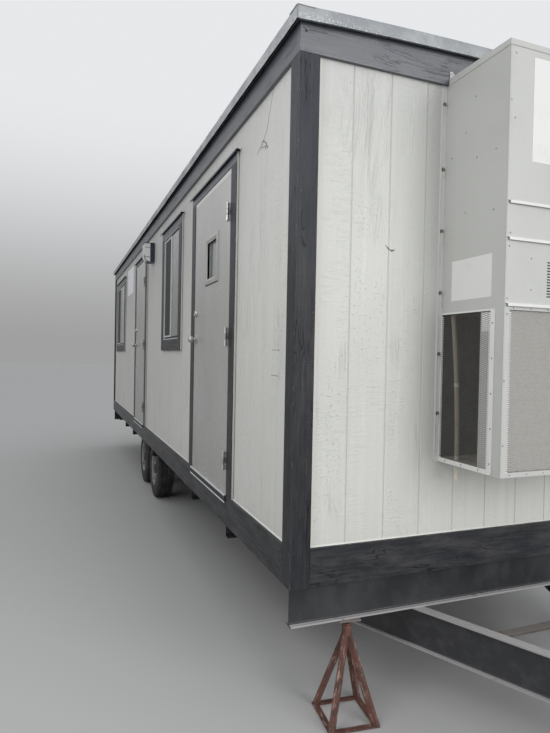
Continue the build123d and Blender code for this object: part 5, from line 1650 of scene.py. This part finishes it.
def jack_stand(side, y, turn):
    """Four splayed legs on a flat-bar square, with a threaded screw under a plate."""
    shape = Shape(81)
    size, bar, thick, leg, turns = 0.125, 0.030, 0.006, 0.013, 8
    head, plate_z = (0.388, 0.434), BEAM_LOW - 0.008
    whole, between = (-size, size), (bar - size, size - bar)
    for x, y_span in ((whole, (-size, bar - size)), (whole, (size - bar, size)),
                      ((-size, bar - size), between), ((size - bar, size), between)):
        shape.block(x, y_span, (0, thick), 0.001)
    square = [(-leg, -leg), (leg, -leg), (leg, leg), (-leg, leg)]
    foot = size - bar / 2
    for across, along in ((1, 1), (1, -1), (-1, 1), (-1, -1)):
        first = len(shape.points)
        base, top = Vector((across * foot, along * foot, 0)), Vector((0, 0, sum(head) / 2))
        shape.prism(square, base, top, Vector((-along, across, 0)))
        line = (top - base).normalized()
        for number, point in enumerate(shape.points[first:], first):
            if point.z < thick:
                shape.points[number] = point + line * ((thick - 0.003 - point.z) / line.z)
    soft = 0.002
    collar = [(0, head[0]), (0.021, head[0]), (0.023, head[0] + soft), (0.023, head[1] - soft)]
    shape.lathe([*collar, (0.021, head[1]), (0, head[1])], (0, 0, 0), UP, 28)
    thread = [(0, head[1])]
    for i in range(turns):
        z = head[1] + (plate_z - head[1]) * i / turns
        thread += [(0.0105, z), (0.013, z + 0.0018)]
    shape.lathe([*thread, (0.0105, plate_z), (0, plate_z)], (0, 0, 0), UP, 20)
    shape.lathe(disc(0.022, 0.436, 0.446), (0, 0, 0), UP, 6)
    shape.finish = 1
    shape.block((-0.043, 0.043), (-0.055, 0.055), (plate_z, BEAM_LOW), 0.001)
    matrix = Matrix.Translation((header_x, y, 0)) @ Matrix.Rotation(radians(turn), 4, "Z")
    shape.points = [matrix @ point for point in shape.points]
    shape.build(f"jack_stand_{side}_frame", [RUST, DUSTY_ANGLE], f"jack_stand_{side}")


# The sign, the marks in the siding and the plain pieces inside

def blank_sign():
    """A blank panel high on the wall between the far window and the far door."""
    shape = Shape(91)
    x, z = (far_face + 1.95, far_face + 2.62), (wall_top - 0.468, wall_top - 0.085)
    thick, screw_in = 0.004, 0.015
    shape.block(x, (door_face - thick, door_face), z, 0.001)
    for a, b in product(inset(x, screw_in), inset(z, screw_in)):
        shape.screw((a, door_face - thick, b), -NORTH, 0.004, 0.0016)
    shape.build("blank_sign", [SIGN_FACE])


def scars():
    """Scrapes in the siding by the hitch, and two knots that stand out of its face."""
    shape = Shape(92)
    proud = 0.0006
    for width, places in (
        (0.003, ((-0.352, 3.042), (-0.394, 2.961), (-0.440, 2.867), (-0.499, 2.826), (-0.592, 2.788))),
        (0.004, ((-0.513, 2.799), (-0.465, 2.792), (-0.421, 2.778))),
        (0.003, ((-0.515, 2.836), (-0.437, 2.799), (-0.465, 2.778),
                 (-0.420, 2.773), (-0.484, 2.830), (-0.530, 2.796))),
        (0.002, ((-0.306, 1.731), (-0.198, 1.730))),
        (0.002, ((-0.313, 1.606), (-0.205, 1.605))),
    ):
        for a, b in zip(places, places[1:]):
            up = Vector((a[1] - b[1], 0, b[0] - a[0])).normalized() * (width / 2)
            start, end = (Vector((hitch_face + x, door_face, z)) for x, z in (a, b))
            shape.plate([start - up, end - up, end + up, start + up], -NORTH * proud)
    ding = [(-0.740, 2.240), (-0.708, 2.217), (-0.676, 2.220), (-0.700, 2.208), (-0.722, 2.220)]
    shape.plate([(hitch_face, y, z) for y, z in ding], EAST * proud)
    shape.finish = 1
    for y, z in ((-0.568, 1.986), (-0.566, 1.933)):
        shape.lathe([(0.006, -0.001), (0.013, -0.001), (0.0095, 0.0022)], (hitch_face, y, z), EAST, 20, True)
    shape.build("siding_scars", [SCRAPE, SIDING])


for wall in ("by_hitch", "over_near_door", "between_doors", "over_far_door", "by_far_end"):
    siding_wall(f"door_wall_{wall}", EAST, -NORTH, DOOR_SIDE_GROOVE)
siding_wall("back_wall", EAST, NORTH, DOOR_SIDE_GROOVE)
siding_wall("hitch_end_wall", NORTH, EAST, HITCH_END_GROOVE)
siding_wall("far_end_wall", NORTH, -EAST, HITCH_END_GROOVE)
for make in (corner_boards, base_band, fascia, roof, flashing, window_casings, window_frames, window_glass):
    make()
for door, door_box, door_body in DOORS:
    door_x = (door_box[0].x, door_box[1].x)
    door_frame(door, inset(door_x, -DOOR_GAP))
    door_slab(door, door_x, door_body)
    door_furniture(door, door_box, door_body)
for make in (thresholds, door_light, hinges, wall_light, ac_cabinet, ac_cap_and_lips, ac_guards, ac_inside):
    make()
for make in (chassis, tongue, axles, springs):
    make()
for axle_name, axle_place in AXLES:
    for side_row in SIDES:
        wheel(axle_name, axle_place, side_row[0], side_row[3])
for side_row in SIDES:
    jack_stand(side_row[0], side_row[1] - side_row[3] * JACK_INWARD, side_row[3] * JACK_TURN)
blank_sign()
scars()
for node, look in (("floor_structure", BELLY), ("floor_deck", FLOORING), ("roof_structure", CEILING)):
    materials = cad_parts[node].data.materials
    materials.clear()
    materials.append(look)


# A pale floor, soft studio light, and the camera where the photo was taken from

def studio():
    """A wide plain floor and soft overhead lamps."""
    far = 90.0
    mesh = bpy.data.meshes.new("studio_floor")
    mesh.from_pydata([(-far, -far, 0), (far, -far, 0), (far, far, 0), (-far, far, 0)], [], [[0, 1, 2, 3]])
    mesh.materials.append(FLOOR)
    floor = placed("studio_floor", mesh)
    floor.location.z = -0.001
    for name, place, aim, size, power in (
        ("end", (14.0, 3.2, 4.4), (3.6, -0.2, 0.9), 8, 710),
        ("corner", (4.3, -3.3, 3.3), (3.4, -1.2, 1.8), 1.6, 29),
        ("sky", (0, 0, 14), (0, 0, 1), 12, 120),
    ):
        data = bpy.data.lights.new(name, "AREA")
        data.shape, data.size, data.energy = "DISK", size, power
        lamp = placed(name, data)
        lamp.location = place
        lamp.visible_camera = False
        lamp.rotation_euler = (Vector(place) - Vector(aim)).to_track_quat("Z", "Y").to_euler()


def camera():
    """The place, turn and lens that the photo was taken with."""
    data = bpy.data.cameras.new("photo_view")
    data.sensor_width, data.lens, data.clip_start = 36, 27.531, 0.01
    forward = Vector((-0.93262755, 0.36040957, -0.01762951))
    right = Vector((0.36008084, 0.9327213, 0.01930729))
    above = Vector((-0.02340195, -0.01165846, 0.99965816))
    view = Matrix((right, above, -forward)).transposed().to_4x4()
    view.translation = (5.96121, -2.17359, 1.69830)
    viewer = placed("photo_view", data)
    viewer.matrix_world = view
    bpy.context.scene.camera = viewer


def sky():
    """A soft sky that is dimmer near the horizon."""
    world = bpy.data.worlds.new("soft_sky")
    world.use_nodes = True
    nodes, links = world.node_tree.nodes, world.node_tree.links
    split, rise, shade = (nodes.new(f"ShaderNode{kind}") for kind in ("SeparateXYZ", "MapRange", "Mix"))
    rise.interpolation_type = "SMOOTHSTEP"
    rise.inputs["From Max"].default_value = 0.40
    shade.data_type = "RGBA"
    shade.inputs[6].default_value = (0.35, 0.35, 0.35, 1)
    shade.inputs[7].default_value = (0.80, 0.81, 0.83, 1)
    links.new(nodes.new("ShaderNodeTexCoord").outputs["Generated"], split.inputs["Vector"])
    links.new(split.outputs["Z"], rise.inputs["Value"])
    links.new(rise.outputs["Result"], shade.inputs[0])
    links.new(shade.outputs[2], nodes["Background"].inputs["Color"])
    bpy.context.scene.world = world


studio()
sky()
camera()
bpy.context.scene.view_settings.view_transform = "Standard"
